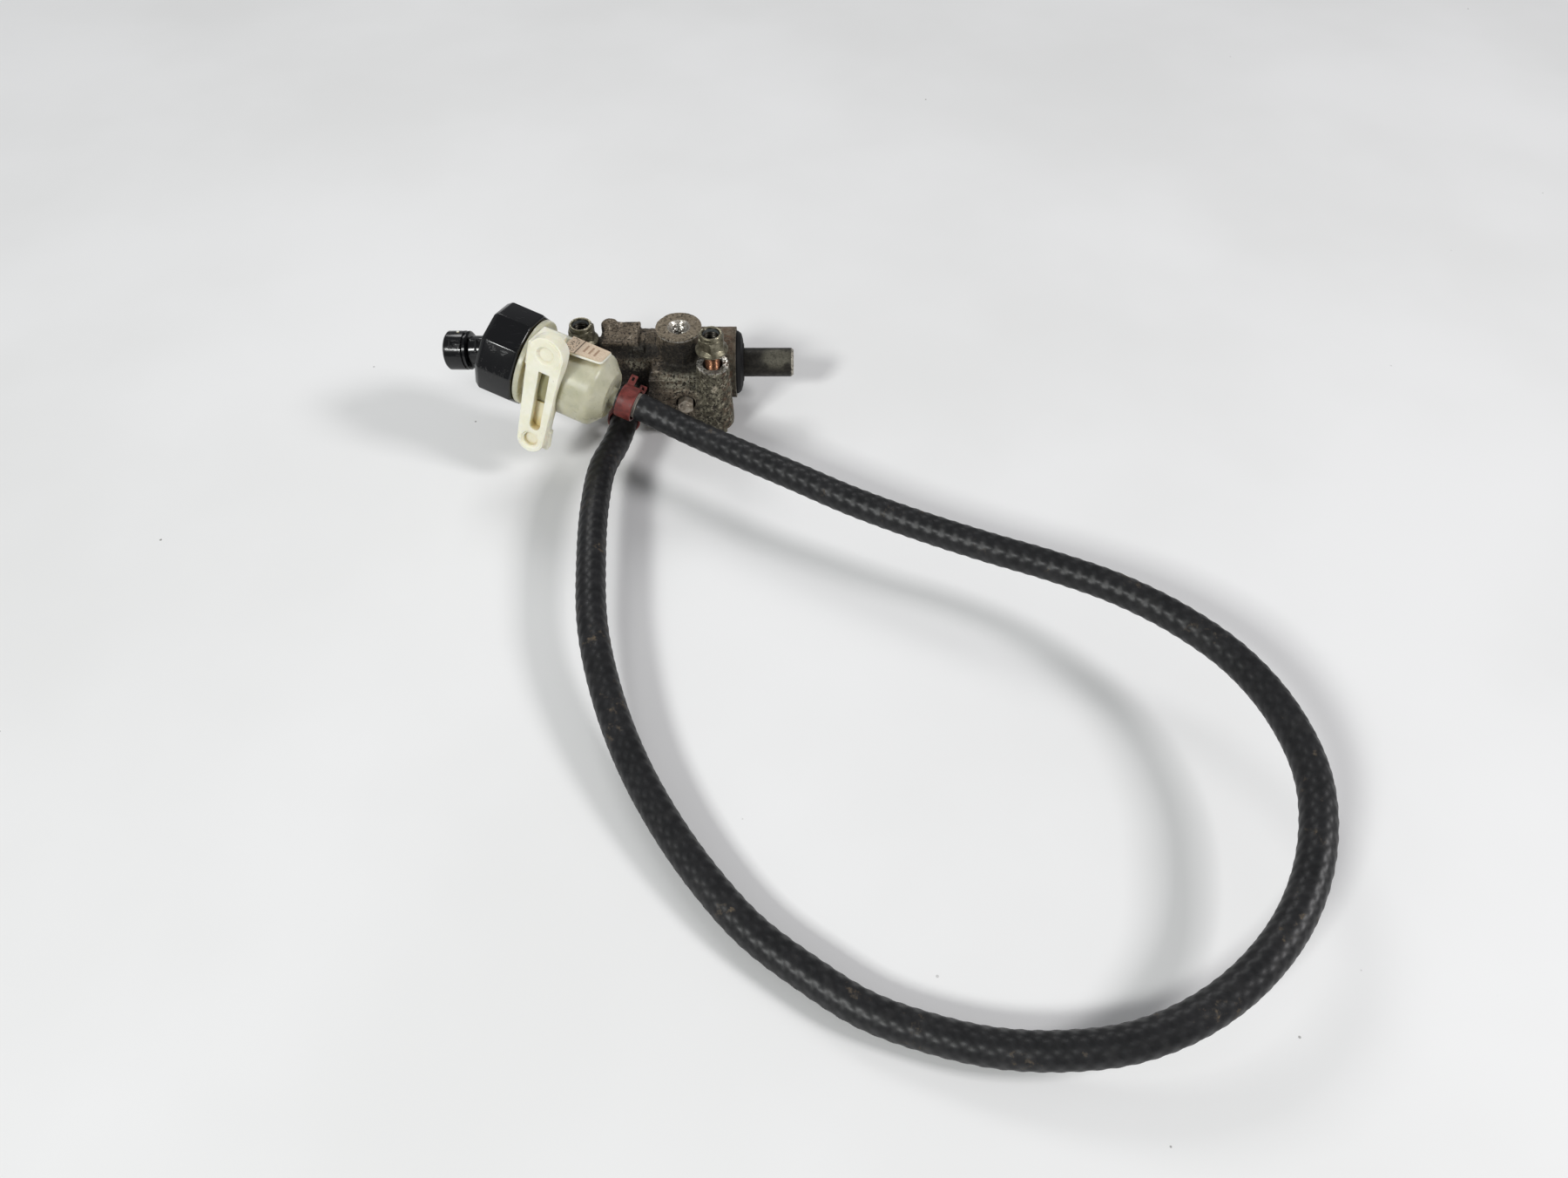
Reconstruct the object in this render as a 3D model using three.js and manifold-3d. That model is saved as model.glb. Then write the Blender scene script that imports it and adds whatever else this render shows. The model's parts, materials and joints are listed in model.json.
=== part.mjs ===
// Rear brake master cylinder with its remote fluid reservoir and feed hose.
// Millimetres, +Z up. The cylinder bore runs along X, with the push rod at the +X end.
// Z = 0 is the surface that the bolt heads and the lowest stretch of the hose rest on.
// Sizes below are laid out from a point under the bore's outlet port; the last lines move
// the origin under the right-hand bolt head.
import * as THREE from 'three';
import { mergeVertices } from 'three/addons/utils/BufferGeometryUtils.js';
import Module from 'manifold-3d';

const wasm = await Module();
wasm.setup();

// ---------------------------------------------------------------- driving sizes
const GAP = 0.3;
const ROUND = 24;
const SMALL_ROUND = 16;
const BOTTLE_ROUND = 30;

const BORE_Z = 28;
const BORE_R = 9.5;
const BORE_START = -36;
const BORE_END = 24.5;
const HOUSING_R = 18.5;
const HOUSING_START = -41.5;
const HOUSING_END = 33.3;
const COLLAR_R = 19.6;
const COLLAR_START = 9;

const ROD_R = 8;
const ROD_TIP = 65.4;
const PISTON_R = 9.4;

const FOOT_Z = 6.2;
const BOSS_TOP = 46;
const LEFT_BOSS = { x: -51, y: -4, r: 9 };
const RIGHT_BOSS = { x: 21.3, y: -23.7, r: 8.8 };
const BOLT_R = 4;
const HEAD_FLATS = 13;

const PORT = { x: 2.7, y: -6, r: 12.5, top: 57, hole: 4.5, depth: 14 };
const INLET = { x: -27.5, z: 22, r: 10.5, end: -24, pinY: -22.5, pinRise: 6 };
const PLUG = { x: 6, y: -31, z: 25 };

const HOSE_R = 7.25;

// The reservoir lies tilted: its nose points along NOSE_AXIS, and its bracket along ARM_AXIS.
const CAP_CENTRE = new THREE.Vector3(-82.5, -32.3, 60);
const NOSE_AXIS = new THREE.Vector3(0.916, -0.327, -0.23).normalize();
const ARM_HINT = new THREE.Vector3(-0.288, -0.139, -0.947);
const CAP_HALF = 10.5;
const CAP_R = 25.4;
const NECK_R = 20.3;
const BODY_R = 19.5;
const WALL = 2;
const SHOULDER = -50.5;
const NOSE = -57;
const NOSE_R = 12.2;
const SPOUT_END = -60.2;

// ---------------------------------------------------------------- materials
function paint(color, roughness, metalness) {
  return new THREE.MeshStandardMaterial({ color, roughness, metalness });
}
const castMetal = () => paint(0x6b6152, 0.75, 0.6);
const oliveZinc = () => paint(0x7d7659, 0.45, 0.85);
const darkSteel = () => paint(0x4b483e, 0.45, 0.9);
const brightSteel = () => paint(0xb9b9b5, 0.3, 0.95);
const blackRubber = () => paint(0x17171a, 0.75, 0);
const blackPlastic = () => paint(0x101114, 0.3, 0);
const milkyNylon = () => paint(0xc9cab4, 0.4, 0);
const creamNylon = () => paint(0xe2dfc4, 0.5, 0);
const redCoat = () => paint(0x96322d, 0.45, 0.1);
const brassMetal = () => paint(0xb08d4a, 0.35, 0.9);

// ---------------------------------------------------------------- solids
function toSolid(geometry) {
  geometry.deleteAttribute('normal');
  geometry.deleteAttribute('uv');
  const merged = mergeVertices(geometry, 1e-4);
  const vertProperties = new Float32Array(merged.attributes.position.array);
  const triVerts = new Uint32Array(merged.index.array);
  return new wasm.Manifold(new wasm.Mesh({ numProp: 3, vertProperties, triVerts }));
}

function toGeometry(solid) {
  const mesh = solid.getMesh();
  const geometry = new THREE.BufferGeometry();
  geometry.setAttribute('position', new THREE.BufferAttribute(new Float32Array(mesh.vertProperties), 3));
  geometry.setIndex(new THREE.BufferAttribute(new Uint32Array(mesh.triVerts), 1));
  geometry.computeVertexNormals();
  return geometry;
}

function join(first, ...others) {
  return others.reduce((sum, geometry) => sum.add(toSolid(geometry)), toSolid(first));
}

function cut(solid, ...tools) {
  return tools.reduce((rest, geometry) => rest.subtract(toSolid(geometry)), solid);
}

// A round bar along Z from z0 to z1, which tapers when endRadius is given.
function bar(radius, z0, z1, segments = ROUND, endRadius = radius) {
  const geometry = new THREE.CylinderGeometry(endRadius, radius, z1 - z0, segments);
  geometry.rotateX(Math.PI / 2);
  geometry.translate(0, 0, (z0 + z1) / 2);
  return geometry;
}

// A turned piece about Z. The profile lists [radius, z] and closes on itself or ends on the axis.
function turned(profile, segments = ROUND) {
  const geometry = new THREE.LatheGeometry(profile.map(([r, z]) => new THREE.Vector2(r, z)), segments);
  geometry.rotateX(Math.PI / 2);
  return geometry;
}

function ring(inner, outer, z0, z1, segments = ROUND) {
  return turned([[inner, z0], [outer, z0], [outer, z1], [inner, z1], [inner, z0]], segments);
}

function block(x0, x1, y0, y1, z0, z1) {
  const geometry = new THREE.BoxGeometry(x1 - x0, y1 - y0, z1 - z0);
  geometry.translate((x0 + x1) / 2, (y0 + y1) / 2, (z0 + z1) / 2);
  return geometry;
}

function hexBar(flats, z0, z1) {
  return bar(flats / Math.sqrt(3), z0, z1, 6);
}

// Turns a piece built along Z so that it points along direction, then moves it to origin.
function aim(geometry, origin, direction) {
  const up = new THREE.Vector3(0, 0, 1);
  geometry.applyQuaternion(new THREE.Quaternion().setFromUnitVectors(up, direction.clone().normalize()));
  geometry.translate(origin.x, origin.y, origin.z);
  return geometry;
}

const ALONG_X = new THREE.Vector3(1, 0, 0);
const TOWARDS_FRONT = new THREE.Vector3(0, -1, 0);

function onBore(geometry) {
  return aim(geometry, new THREE.Vector3(0, 0, BORE_Z), ALONG_X);
}

const assembly = new THREE.Group();
assembly.name = 'brake_master_cylinder';

function addMesh(name, geometry, material) {
  const mesh = new THREE.Mesh(geometry, material);
  mesh.name = name;
  assembly.add(mesh);
}

function inletPinCentre() {
  return new THREE.Vector3(INLET.x, INLET.pinY, INLET.z + INLET.pinRise);
}

// ---------------------------------------------------------------- cylinder body
function cylinderBody() {
  const rightFoot = RIGHT_BOSS.r + 1.7;
  let body = join(
    onBore(bar(HOUSING_R, HOUSING_START, COLLAR_START + 1)),
    onBore(bar(COLLAR_R, COLLAR_START, HOUSING_END)),
    bar(LEFT_BOSS.r, FOOT_Z, BOSS_TOP).translate(LEFT_BOSS.x, LEFT_BOSS.y, 0),
    bar(rightFoot, FOOT_Z, BOSS_TOP, ROUND, RIGHT_BOSS.r).translate(RIGHT_BOSS.x, RIGHT_BOSS.y, 0),
    bar(PORT.r, 20, PORT.top).translate(PORT.x, PORT.y, 0),
    block(LEFT_BOSS.x, -38, -12, 4, 9, 42),
    block(-14, RIGHT_BOSS.x + 6, PLUG.y, 0, 10, 33),
    block(-14, RIGHT_BOSS.x, PLUG.y + 4, -2, 33 - GAP, 37),
    block(-40, -20, -9.5, 10, 40, 48.5),
    bar(4.5, 40, 49.6, SMALL_ROUND).translate(-37, 7, 0),
    aim(bar(INLET.r, 0, -INLET.end), new THREE.Vector3(INLET.x, 0, INLET.z), TOWARDS_FRONT),
  );
  const passage = new THREE.Vector3(-15, 3, -9);
  body = cut(
    body,
    onBore(bar(BORE_R, BORE_START, HOUSING_END + 1)),
    onBore(bar(14, BORE_END, HOUSING_END + 1)),
    onBore(bar(15.3, 26.5, 28.3)),
    onBore(bar(17.6, 29.3, HOUSING_END + 1)),
    bar(5.5, 0, 60).translate(LEFT_BOSS.x, LEFT_BOSS.y, 0),
    bar(5.5, 0, 60).translate(RIGHT_BOSS.x, RIGHT_BOSS.y, 0),
    bar(PORT.hole, PORT.top - PORT.depth, PORT.top + 1).translate(PORT.x, PORT.y, 0),
    bar(PORT.hole, PORT.top - 1.6, PORT.top + 0.4, ROUND, PORT.hole + 2).translate(PORT.x, PORT.y, 0),
    aim(bar(1.6, 0, passage.length(), 12), new THREE.Vector3(PORT.x, PORT.y, PORT.top - PORT.depth + 1), passage),
    aim(bar(7, 12, 30), new THREE.Vector3(INLET.x, 0, INLET.z), TOWARDS_FRONT),
    aim(bar(1.6, 4, 14, 12), new THREE.Vector3(INLET.x, 0, INLET.z), TOWARDS_FRONT),
    aim(bar(1.35, -14, 14, 12), inletPinCentre(), ALONG_X),
    aim(bar(5.3, -4.5, 2), new THREE.Vector3(PLUG.x, PLUG.y, PLUG.z), TOWARDS_FRONT),
    aim(bar(2.6, -12, 0, 12), new THREE.Vector3(PLUG.x, PLUG.y, PLUG.z), TOWARDS_FRONT),
  );
  addMesh('cylinder_body', toGeometry(body), castMetal());
}

// ---------------------------------------------------------------- piston train inside the bore
const SPRING_START = BORE_START + GAP;
const SEAT_X = 2;

function pistonTrain() {
  const rodStart = 24.3;
  addMesh('push_rod', onBore(turned([
    [0, rodStart], [6.4, rodStart], [ROD_R, rodStart + 1.6],
    [ROD_R, ROD_TIP - 1.2], [ROD_R - 1.2, ROD_TIP], [0, ROD_TIP],
  ])), darkSteel());

  addMesh('piston', onBore(turned([
    [0, 8.3], [PISTON_R, 8.3], [PISTON_R, 11], [6, 11.4], [6, 17.2], [PISTON_R, 17.6],
    [PISTON_R, 24], [0, 24],
  ])), paint(0xa9a9a4, 0.3, 0.9));

  addMesh('primary_cup', onBore(turned([
    [0, 6], [5.6, 6], [6.6, 3.9], [PISTON_R - 0.6, 3.7], [PISTON_R, 4.6], [PISTON_R - 0.3, 8], [0, 8],
  ])), blackRubber());

  addMesh('secondary_cup', onBore(ring(6.2, PISTON_R, 12, 16.4)), blackRubber());

  addMesh('spring_seat', onBore(turned([[0, SEAT_X], [8.4, SEAT_X], [8.4, SEAT_X + 1.4], [5.2, SEAT_X + 1.6],
    [4.6, SEAT_X + 3.6], [0, SEAT_X + 3.6]])), brightSteel());

  addMesh('return_spring', returnSpring(), brightSteel());
}

function helixPath(radius, z0, z1, turns, pointsPerTurn) {
  const points = [];
  const count = turns * pointsPerTurn;
  for (let i = 0; i <= count; i += 1) {
    const angle = (2 * Math.PI * i) / pointsPerTurn;
    points.push(new THREE.Vector3(radius * Math.cos(angle), radius * Math.sin(angle), z0 + ((z1 - z0) * i) / count));
  }
  return new THREE.CatmullRomCurve3(points);
}

function sweep(path, radius, sides, steps) {
  const section = new THREE.Shape();
  for (let i = 0; i < sides; i += 1) {
    const angle = (2 * Math.PI * i) / sides;
    const point = [radius * Math.cos(angle), radius * Math.sin(angle)];
    if (i === 0) {
      section.moveTo(...point);
    } else {
      section.lineTo(...point);
    }
  }
  return new THREE.ExtrudeGeometry(section, { steps, extrudePath: path, bevelEnabled: false });
}

function returnSpring() {
  const wire = 0.8;
  const path = helixPath(7, SPRING_START + wire, SEAT_X - GAP - wire, 6, 9);
  return onBore(sweep(path, wire, 5, 54));
}

// ---------------------------------------------------------------- closing parts at the rod end
function rodEnd() {
  addMesh('stop_washer', onBore(ring(ROD_R + 0.4, 13.6, BORE_END + 0.2, 26.2)), brightSteel());
  const clip = cut(
    toSolid(onBore(ring(11.5, 15, 26.7, 28.1))),
    onBore(block(-3, 3, -20, -8, 26, 29)),
  );
  addMesh('snap_ring', toGeometry(clip), darkSteel());
  addMesh('rod_boot', onBore(turned([
    [ROD_R + 0.3, 29.6], [17.3, 29.6], [17.3, 34.2], [15.4, 36.2], [10.6, 37.4], [ROD_R + 0.3, 37.4],
    [ROD_R + 0.3, 29.6],
  ])), blackRubber());
}

// ---------------------------------------------------------------- bolts and nuts
const NUT_HEIGHT = 11;

function boltGeometry(length) {
  return toGeometry(join(
    hexBar(HEAD_FLATS, 0, 5.6),
    bar(8, 5.4, FOOT_Z - GAP),
    bar(BOLT_R, 5.4, FOOT_Z + length),
  ));
}

function flangeNutGeometry() {
  const nut = join(
    turned([[0, 0], [8.9, 0], [8.9, 1.1], [6.8, 2.6], [0, 2.6]]),
    hexBar(HEAD_FLATS, 2.4, 8.4),
    bar(6.4, 8.3, NUT_HEIGHT),
  );
  return toGeometry(cut(
    nut,
    bar(BOLT_R + 0.15, -1, NUT_HEIGHT + 1),
    bar(5.3, 8.6, NUT_HEIGHT - 0.6),
  ));
}

function fasteners() {
  const seats = [
    { side: 'left', at: LEFT_BOSS, length: 45, nutZ: BOSS_TOP + GAP },
    { side: 'right', at: RIGHT_BOSS, length: 54, nutZ: BOSS_TOP + 9.3 },
  ];
  for (const { side, at, length, nutZ } of seats) {
    addMesh(`bolt_${side}`, boltGeometry(length).translate(at.x, at.y, 0), oliveZinc());
    addMesh(`nut_${side}`, flangeNutGeometry().translate(at.x, at.y, nutZ), oliveZinc());
    const insert = ring(BOLT_R + 0.15, 5.1, 8.8, NUT_HEIGHT - 0.8);
    addMesh(`nut_insert_${side}`, insert.translate(at.x, at.y, nutZ), paint(0x5c5f66, 0.6, 0));
  }
}

// ---------------------------------------------------------------- plug and inlet on the front
function hexPlug() {
  const at = new THREE.Vector3(PLUG.x, PLUG.y, PLUG.z);
  const plug = join(bar(2.4, -11, -2.6, 12), hexBar(8, -3, 4.6), bar(3, 4.4, 5.4, 12));
  addMesh('hex_plug', aim(toGeometry(plug), at, TOWARDS_FRONT), paint(0x8d8877, 0.4, 0.9));
  addMesh('plug_washer', aim(ring(2.7, 5.0, -4.2, -3.3), at, TOWARDS_FRONT), blackRubber());
}

function inletParts() {
  const at = new THREE.Vector3(INLET.x, 0, INLET.z);
  addMesh('inlet_grommet', aim(ring(4.6, 6.8, 12.3, 19.2), at, TOWARDS_FRONT), blackRubber());
  const fitting = cut(
    join(
      bar(4.3, 13.5, 33, SMALL_ROUND),
      bar(6.4, 19.5, 21),
      bar(6.8, 24.4, 26.6),
    ),
    bar(2.8, 13, 34, 12),
  );
  addMesh('inlet_fitting', aim(toGeometry(fitting), at, TOWARDS_FRONT), blackPlastic());
  addMesh('inlet_pin', aim(bar(1.1, -8.5, 8.5, 12), inletPinCentre(), ALONG_X), brightSteel());
}

// ---------------------------------------------------------------- feed hose and its two clamps
const INLET_HOSE_END = new THREE.Vector3(INLET.x, -33.3, INLET.z);

// Chosen by hand: the hose leaves the reservoir's nose, loops round on the surface
// and comes back under the reservoir to the cylinder's inlet.
const HOSE_ROUTE = [
  [-18, -55, 43.9], [-8, -59, 41.3], [6, -66, 38.5], [30, -81, 38], [63, -101, 38], [94, -120, 38],
  [125, -136, 38], [156, -151, 39], [185, -163, 39], [213, -178, 40], [237, -197, 41],
  [256, -220, 42], [268, -247, 42], [272, -277, 41], [266, -306, 38], [253, -331, 33],
  [234, -351, 28], [212, -365, 23], [188, -373, 18], [164, -375, 14], [139, -373, 10.5],
  [115, -367, 8.3], [91, -358, 7.5], [69, -344, 7.5], [47, -327, 7.8], [28, -306, 9],
  [10, -281, 11], [-6, -253, 14], [-19, -222, 18], [-29, -186, 22], [-34, -144, 24],
  [-36, -109, 24], [-35, -80, 23], [-30, -61, 22.3], [-27.6, -46, 22],
];

function hosePath() {
  const noseEnd = CAP_CENTRE.clone().addScaledVector(NOSE_AXIS, -SPOUT_END + GAP);
  const route = HOSE_ROUTE.map(([x, y, z]) => new THREE.Vector3(x, y, z));
  return new THREE.CatmullRomCurve3([noseEnd, ...route, INLET_HOSE_END], false, 'centripetal');
}

function clampGeometry(width) {
  const inner = HOSE_R + 0.45;
  const outer = inner + 1.2;
  return toGeometry(cut(
    join(
      ring(inner, outer, -width / 2, width / 2),
      block(-4.6, -3.2, outer - 1, outer + 5, -width / 2, -width / 2 + 4),
      block(3.2, 4.6, outer - 1, outer + 5, width / 2 - 4, width / 2),
    ),
    block(-5.6, -2.2, outer + 1.6, outer + 3.6, -width / 2 + 1.2, -width / 2 + 2.8),
    block(2.2, 5.6, outer + 1.6, outer + 3.6, width / 2 - 2.8, width / 2 - 1.2),
  ));
}

function hoseAndClamps() {
  addMesh('feed_hose', sweep(hosePath(), HOSE_R, 10, 60), blackRubber());
  const nosePoint = CAP_CENTRE.clone().addScaledVector(NOSE_AXIS, 66.5);
  addMesh('outlet_clamp', aim(clampGeometry(9), nosePoint, NOSE_AXIS), redCoat());
  const inletPoint = new THREE.Vector3(INLET.x, -39, INLET.z);
  addMesh('inlet_clamp', aim(clampGeometry(9), inletPoint, TOWARDS_FRONT), redCoat());
}

// ---------------------------------------------------------------- reservoir, built upright
// In the reservoir's own frame +Z points up through the cap, -Y to the bracket's face,
// and X along the bracket's arm. Its origin is the middle of the cap.
const UP_CAP = NOSE_AXIS.clone().negate();
const ARM = ARM_HINT.clone().addScaledVector(NOSE_AXIS, -ARM_HINT.dot(NOSE_AXIS)).normalize();
const ARM_UP = ARM.clone().negate();
const BACK = new THREE.Vector3().crossVectors(UP_CAP, ARM_UP);
const RESERVOIR_FRAME = new THREE.Matrix4().makeBasis(ARM_UP, BACK, UP_CAP).setPosition(CAP_CENTRE);

function addOnReservoir(name, geometry, material) {
  geometry.applyMatrix4(RESERVOIR_FRAME);
  addMesh(name, geometry, material);
}

function bottle() {
  const neckTop = 5;
  const flange = -CAP_HALF - 0.6;
  addOnReservoir('reservoir_bottle', turned([
    [BODY_R - WALL, neckTop], [BODY_R - WALL, SHOULDER + 0.8], [NOSE_R - 1.2, NOSE + WALL],
    [2.9, NOSE + WALL], [2.9, SPOUT_END], [4.6, SPOUT_END], [4.6, NOSE], [NOSE_R, NOSE],
    [BODY_R, SHOULDER], [BODY_R, flange - 3.6], [23, flange - 3], [23, flange], [NECK_R, flange],
    [NECK_R, neckTop], [BODY_R - WALL, neckTop],
  ], BOTTLE_ROUND), milkyNylon());
  addOnReservoir('cap_seal', ring(BODY_R - WALL, NECK_R, neckTop + 0.2, neckTop + 1.4, BOTTLE_ROUND), blackRubber());
}

function capRing() {
  const grip = join(
    bar(CAP_R - 0.8, -CAP_HALF, -CAP_HALF + 1.1, 10, CAP_R),
    bar(CAP_R, -CAP_HALF + 1, CAP_HALF - 1.9, 10),
    bar(CAP_R, CAP_HALF - 2, CAP_HALF, 10, CAP_R - 2),
  );
  addOnReservoir('cap_ring', toGeometry(cut(
    grip,
    bar(NECK_R + 0.5, -CAP_HALF - 1, 8.2, BOTTLE_ROUND),
    bar(12.5, 8, CAP_HALF + 1, BOTTLE_ROUND),
  )), blackPlastic());
}

// The level sensor hangs in the neck under the cap ring, with its plug socket outside.
const SENSOR_TOP = 12.4;
const SOCKET_AXIS = new THREE.Vector3(-0.992, 0.096, -0.076).normalize();
const SOCKET_BASE = new THREE.Vector3(-90.6, -29.6, 59.6);
const BARREL_R = 10.2;
const MOUTH_R = 8.4;

function levelSensor() {
  const head = join(
    turned([[0, 6.6], [20, 6.6], [20, 7.9], [12, 7.9], [12, SENSOR_TOP - 1.4], [10.6, SENSOR_TOP], [0, SENSOR_TOP]]),
    bar(3.6, -38, 6.8, SMALL_ROUND),
  );
  const placed = toSolid(toGeometry(head).applyMatrix4(RESERVOIR_FRAME));
  const socket = join(
    bar(7.8, -1, 15),
    turned([[0, 14.4], [BARREL_R - 1.1, 14.4], [BARREL_R, 15.5], [BARREL_R, 26], [BARREL_R - 1.1, 27.2], [0, 27.2]]),
    block(-3, 3, BARREL_R - 0.5, BARREL_R + 1.3, 16.5, 24),
  );
  const shell = cut(socket, bar(MOUTH_R, 16, 28));
  const socketSolid = toSolid(aim(toGeometry(shell), SOCKET_BASE, SOCKET_AXIS));
  addMesh('level_sensor', toGeometry(placed.add(socketSolid)), blackPlastic());

  for (const [side, offset] of [['upper', 2.6], ['lower', -2.6]]) {
    const pin = block(-0.4, 0.4, offset - 1, offset + 1, 16 + GAP, 24);
    addMesh(`terminal_${side}`, aim(pin, SOCKET_BASE, SOCKET_AXIS), brassMetal());
  }
  addMesh('socket_seal', aim(ring(MOUTH_R - 1.4, MOUTH_R - GAP, 16 + GAP, 19), SOCKET_BASE, SOCKET_AXIS), paint(0xc8742c, 0.6, 0));
}

function floatParts() {
  addOnReservoir('level_float', ring(4.1, 12, -35.7, -21.7), paint(0xd9d6c4, 0.6, 0));
  addOnReservoir('float_stop', ring(3.8, 6.4, -37.2, -36, SMALL_ROUND), brightSteel());
}

// ---------------------------------------------------------------- bracket, label tab and label
const BRACKET = { face: -23.6, back: -15, z: -26, high: 21.4, low: -30.5, highR: 9.6, lowR: 7.4, eyeR: 4.2 };
const SLOT = { z: -27.2, half: 3, top: 11.5, web: -9, end: -23.5 };

// A round-ended arm seen from its face: x along the arm, y up the bottle.
function armOutline() {
  const shape = new THREE.Shape();
  shape.absarc(BRACKET.low, BRACKET.z, BRACKET.lowR, Math.PI / 2, (3 * Math.PI) / 2, false);
  shape.absarc(BRACKET.high, BRACKET.z, BRACKET.highR, -Math.PI / 2, Math.PI / 2, false);
  return shape;
}

function alongY(shape, y0, y1) {
  const geometry = new THREE.ExtrudeGeometry(shape, { depth: y1 - y0, bevelEnabled: false, curveSegments: 12 });
  geometry.rotateX(Math.PI / 2);
  geometry.translate(0, y1, 0);
  return geometry;
}

// A round hole through the arm's face, which narrows towards the back when backRadius is given.
function roundAlongY(x, radius, y0, y1, backRadius = radius) {
  const geometry = new THREE.CylinderGeometry(backRadius, radius, y1 - y0, SMALL_ROUND);
  geometry.translate(x, (y0 + y1) / 2, BRACKET.z);
  return geometry;
}

function bracket() {
  const clear = BODY_R + GAP;
  const arm = join(
    alongY(armOutline(), BRACKET.face, BRACKET.back),
    block(12, 25.4, BRACKET.face + 1.4, -4, BRACKET.z - 2.5, BRACKET.z + 10.5),
  );
  addOnReservoir('reservoir_bracket', toGeometry(cut(
    arm,
    bar(clear, SHOULDER, -CAP_HALF, BOTTLE_ROUND),
    roundAlongY(BRACKET.high, BRACKET.eyeR + 1, BRACKET.face - 0.01, BRACKET.face + 1.8, BRACKET.eyeR),
    roundAlongY(BRACKET.low, BRACKET.eyeR, BRACKET.face - 1, BRACKET.back + 1),
    block(SLOT.web, SLOT.top, BRACKET.face - 1, BRACKET.back + 1, SLOT.z - SLOT.half, SLOT.z + SLOT.half),
    block(SLOT.end, SLOT.web + 0.1, BRACKET.face - 1, BRACKET.face + 5, SLOT.z - SLOT.half, SLOT.z + SLOT.half),
  )), creamNylon());
}

const TAB = { x: 20.6, y0: -10, y1: 3.4, z0: -51, z1: -29, corner: 3, slant: 3 };

function labelTab() {
  const shape = new THREE.Shape();
  shape.moveTo(TAB.z1, TAB.y0 - TAB.slant);
  shape.lineTo(TAB.z0 + TAB.corner, TAB.y0);
  shape.absarc(TAB.z0 + TAB.corner, TAB.y0 + TAB.corner, TAB.corner, -Math.PI / 2, -Math.PI, true);
  shape.lineTo(TAB.z0, TAB.y1);
  shape.lineTo(TAB.z1, TAB.y1);
  shape.closePath();
  const plate = new THREE.ExtrudeGeometry(shape, { depth: 1.2, bevelEnabled: false, curveSegments: 6 });
  const swap = new THREE.Matrix4().makeBasis(
    new THREE.Vector3(0, 0, 1), new THREE.Vector3(0, 1, 0), new THREE.Vector3(-1, 0, 0),
  );
  plate.applyMatrix4(swap);
  plate.translate(TAB.x + 1.2, 0, 0);
  addOnReservoir('label_tab', plate, creamNylon());
  const sticker = block(TAB.x + 1.4, TAB.x + 1.8, TAB.y0 + 0.4, TAB.y1 - 0.4, TAB.z0 + TAB.corner, TAB.z1 - 0.4);
  addOnReservoir('label', sticker, paint(0xe1cdb4, 0.7, 0));
}

// ---------------------------------------------------------------- assembly
cylinderBody();
pistonTrain();
rodEnd();
fasteners();
hexPlug();
inletParts();
hoseAndClamps();
bottle();
capRing();
levelSensor();
floatParts();
bracket();
labelTab();

// The part's own origin is under the right-hand bolt head, on the surface it stands on.
assembly.position.set(-RIGHT_BOSS.x, -RIGHT_BOSS.y, 0);

export default assembly;
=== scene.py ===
# Looks of the rear brake master cylinder, with its remote reservoir and feed hose.
# Sizes are millimetres, in the row frame or in one piece's own frame, and publish() makes them metres.
import json
import math

import bmesh
import bpy
from mathutils import Matrix, Vector, noise


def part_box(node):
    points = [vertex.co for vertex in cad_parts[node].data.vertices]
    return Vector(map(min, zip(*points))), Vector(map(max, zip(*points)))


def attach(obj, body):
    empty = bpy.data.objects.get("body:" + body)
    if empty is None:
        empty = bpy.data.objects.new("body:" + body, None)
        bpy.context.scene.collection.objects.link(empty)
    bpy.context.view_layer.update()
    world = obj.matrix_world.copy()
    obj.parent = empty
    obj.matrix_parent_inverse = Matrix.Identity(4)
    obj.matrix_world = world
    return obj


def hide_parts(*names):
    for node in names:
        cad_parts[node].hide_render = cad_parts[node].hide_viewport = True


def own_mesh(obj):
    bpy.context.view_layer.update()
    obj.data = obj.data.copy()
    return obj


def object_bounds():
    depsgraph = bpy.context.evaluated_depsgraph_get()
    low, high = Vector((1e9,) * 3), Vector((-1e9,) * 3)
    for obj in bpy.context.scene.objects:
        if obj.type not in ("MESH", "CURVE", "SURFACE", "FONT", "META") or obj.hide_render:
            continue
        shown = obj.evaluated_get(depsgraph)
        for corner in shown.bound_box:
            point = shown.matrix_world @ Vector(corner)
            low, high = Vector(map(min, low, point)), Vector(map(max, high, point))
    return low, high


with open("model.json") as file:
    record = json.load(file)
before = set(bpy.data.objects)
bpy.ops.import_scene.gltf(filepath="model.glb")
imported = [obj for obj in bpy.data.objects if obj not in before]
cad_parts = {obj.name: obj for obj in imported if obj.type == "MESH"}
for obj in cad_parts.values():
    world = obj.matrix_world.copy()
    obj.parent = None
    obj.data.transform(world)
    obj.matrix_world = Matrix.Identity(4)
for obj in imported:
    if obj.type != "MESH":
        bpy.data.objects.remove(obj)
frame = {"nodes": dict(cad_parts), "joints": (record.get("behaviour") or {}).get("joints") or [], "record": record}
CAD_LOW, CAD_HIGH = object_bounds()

MM = 0.001
IDENTITY = Matrix.Identity(4)
Z_AXIS = Vector((0, 0, 1))
RIGHT = Vector((1, 0, 0))
FRONT = Vector((0, -1, 0))
LEVEL = (1, 1, 0)


# ---- places that the CAD gives
def low(node):
    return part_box(node)[0] / MM


def high(node):
    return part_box(node)[1] / MM


def middle(node):
    return (low(node) + high(node)) / 2


def joint(name):
    return next(j for j in frame["joints"] if j["name"] == name)


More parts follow.
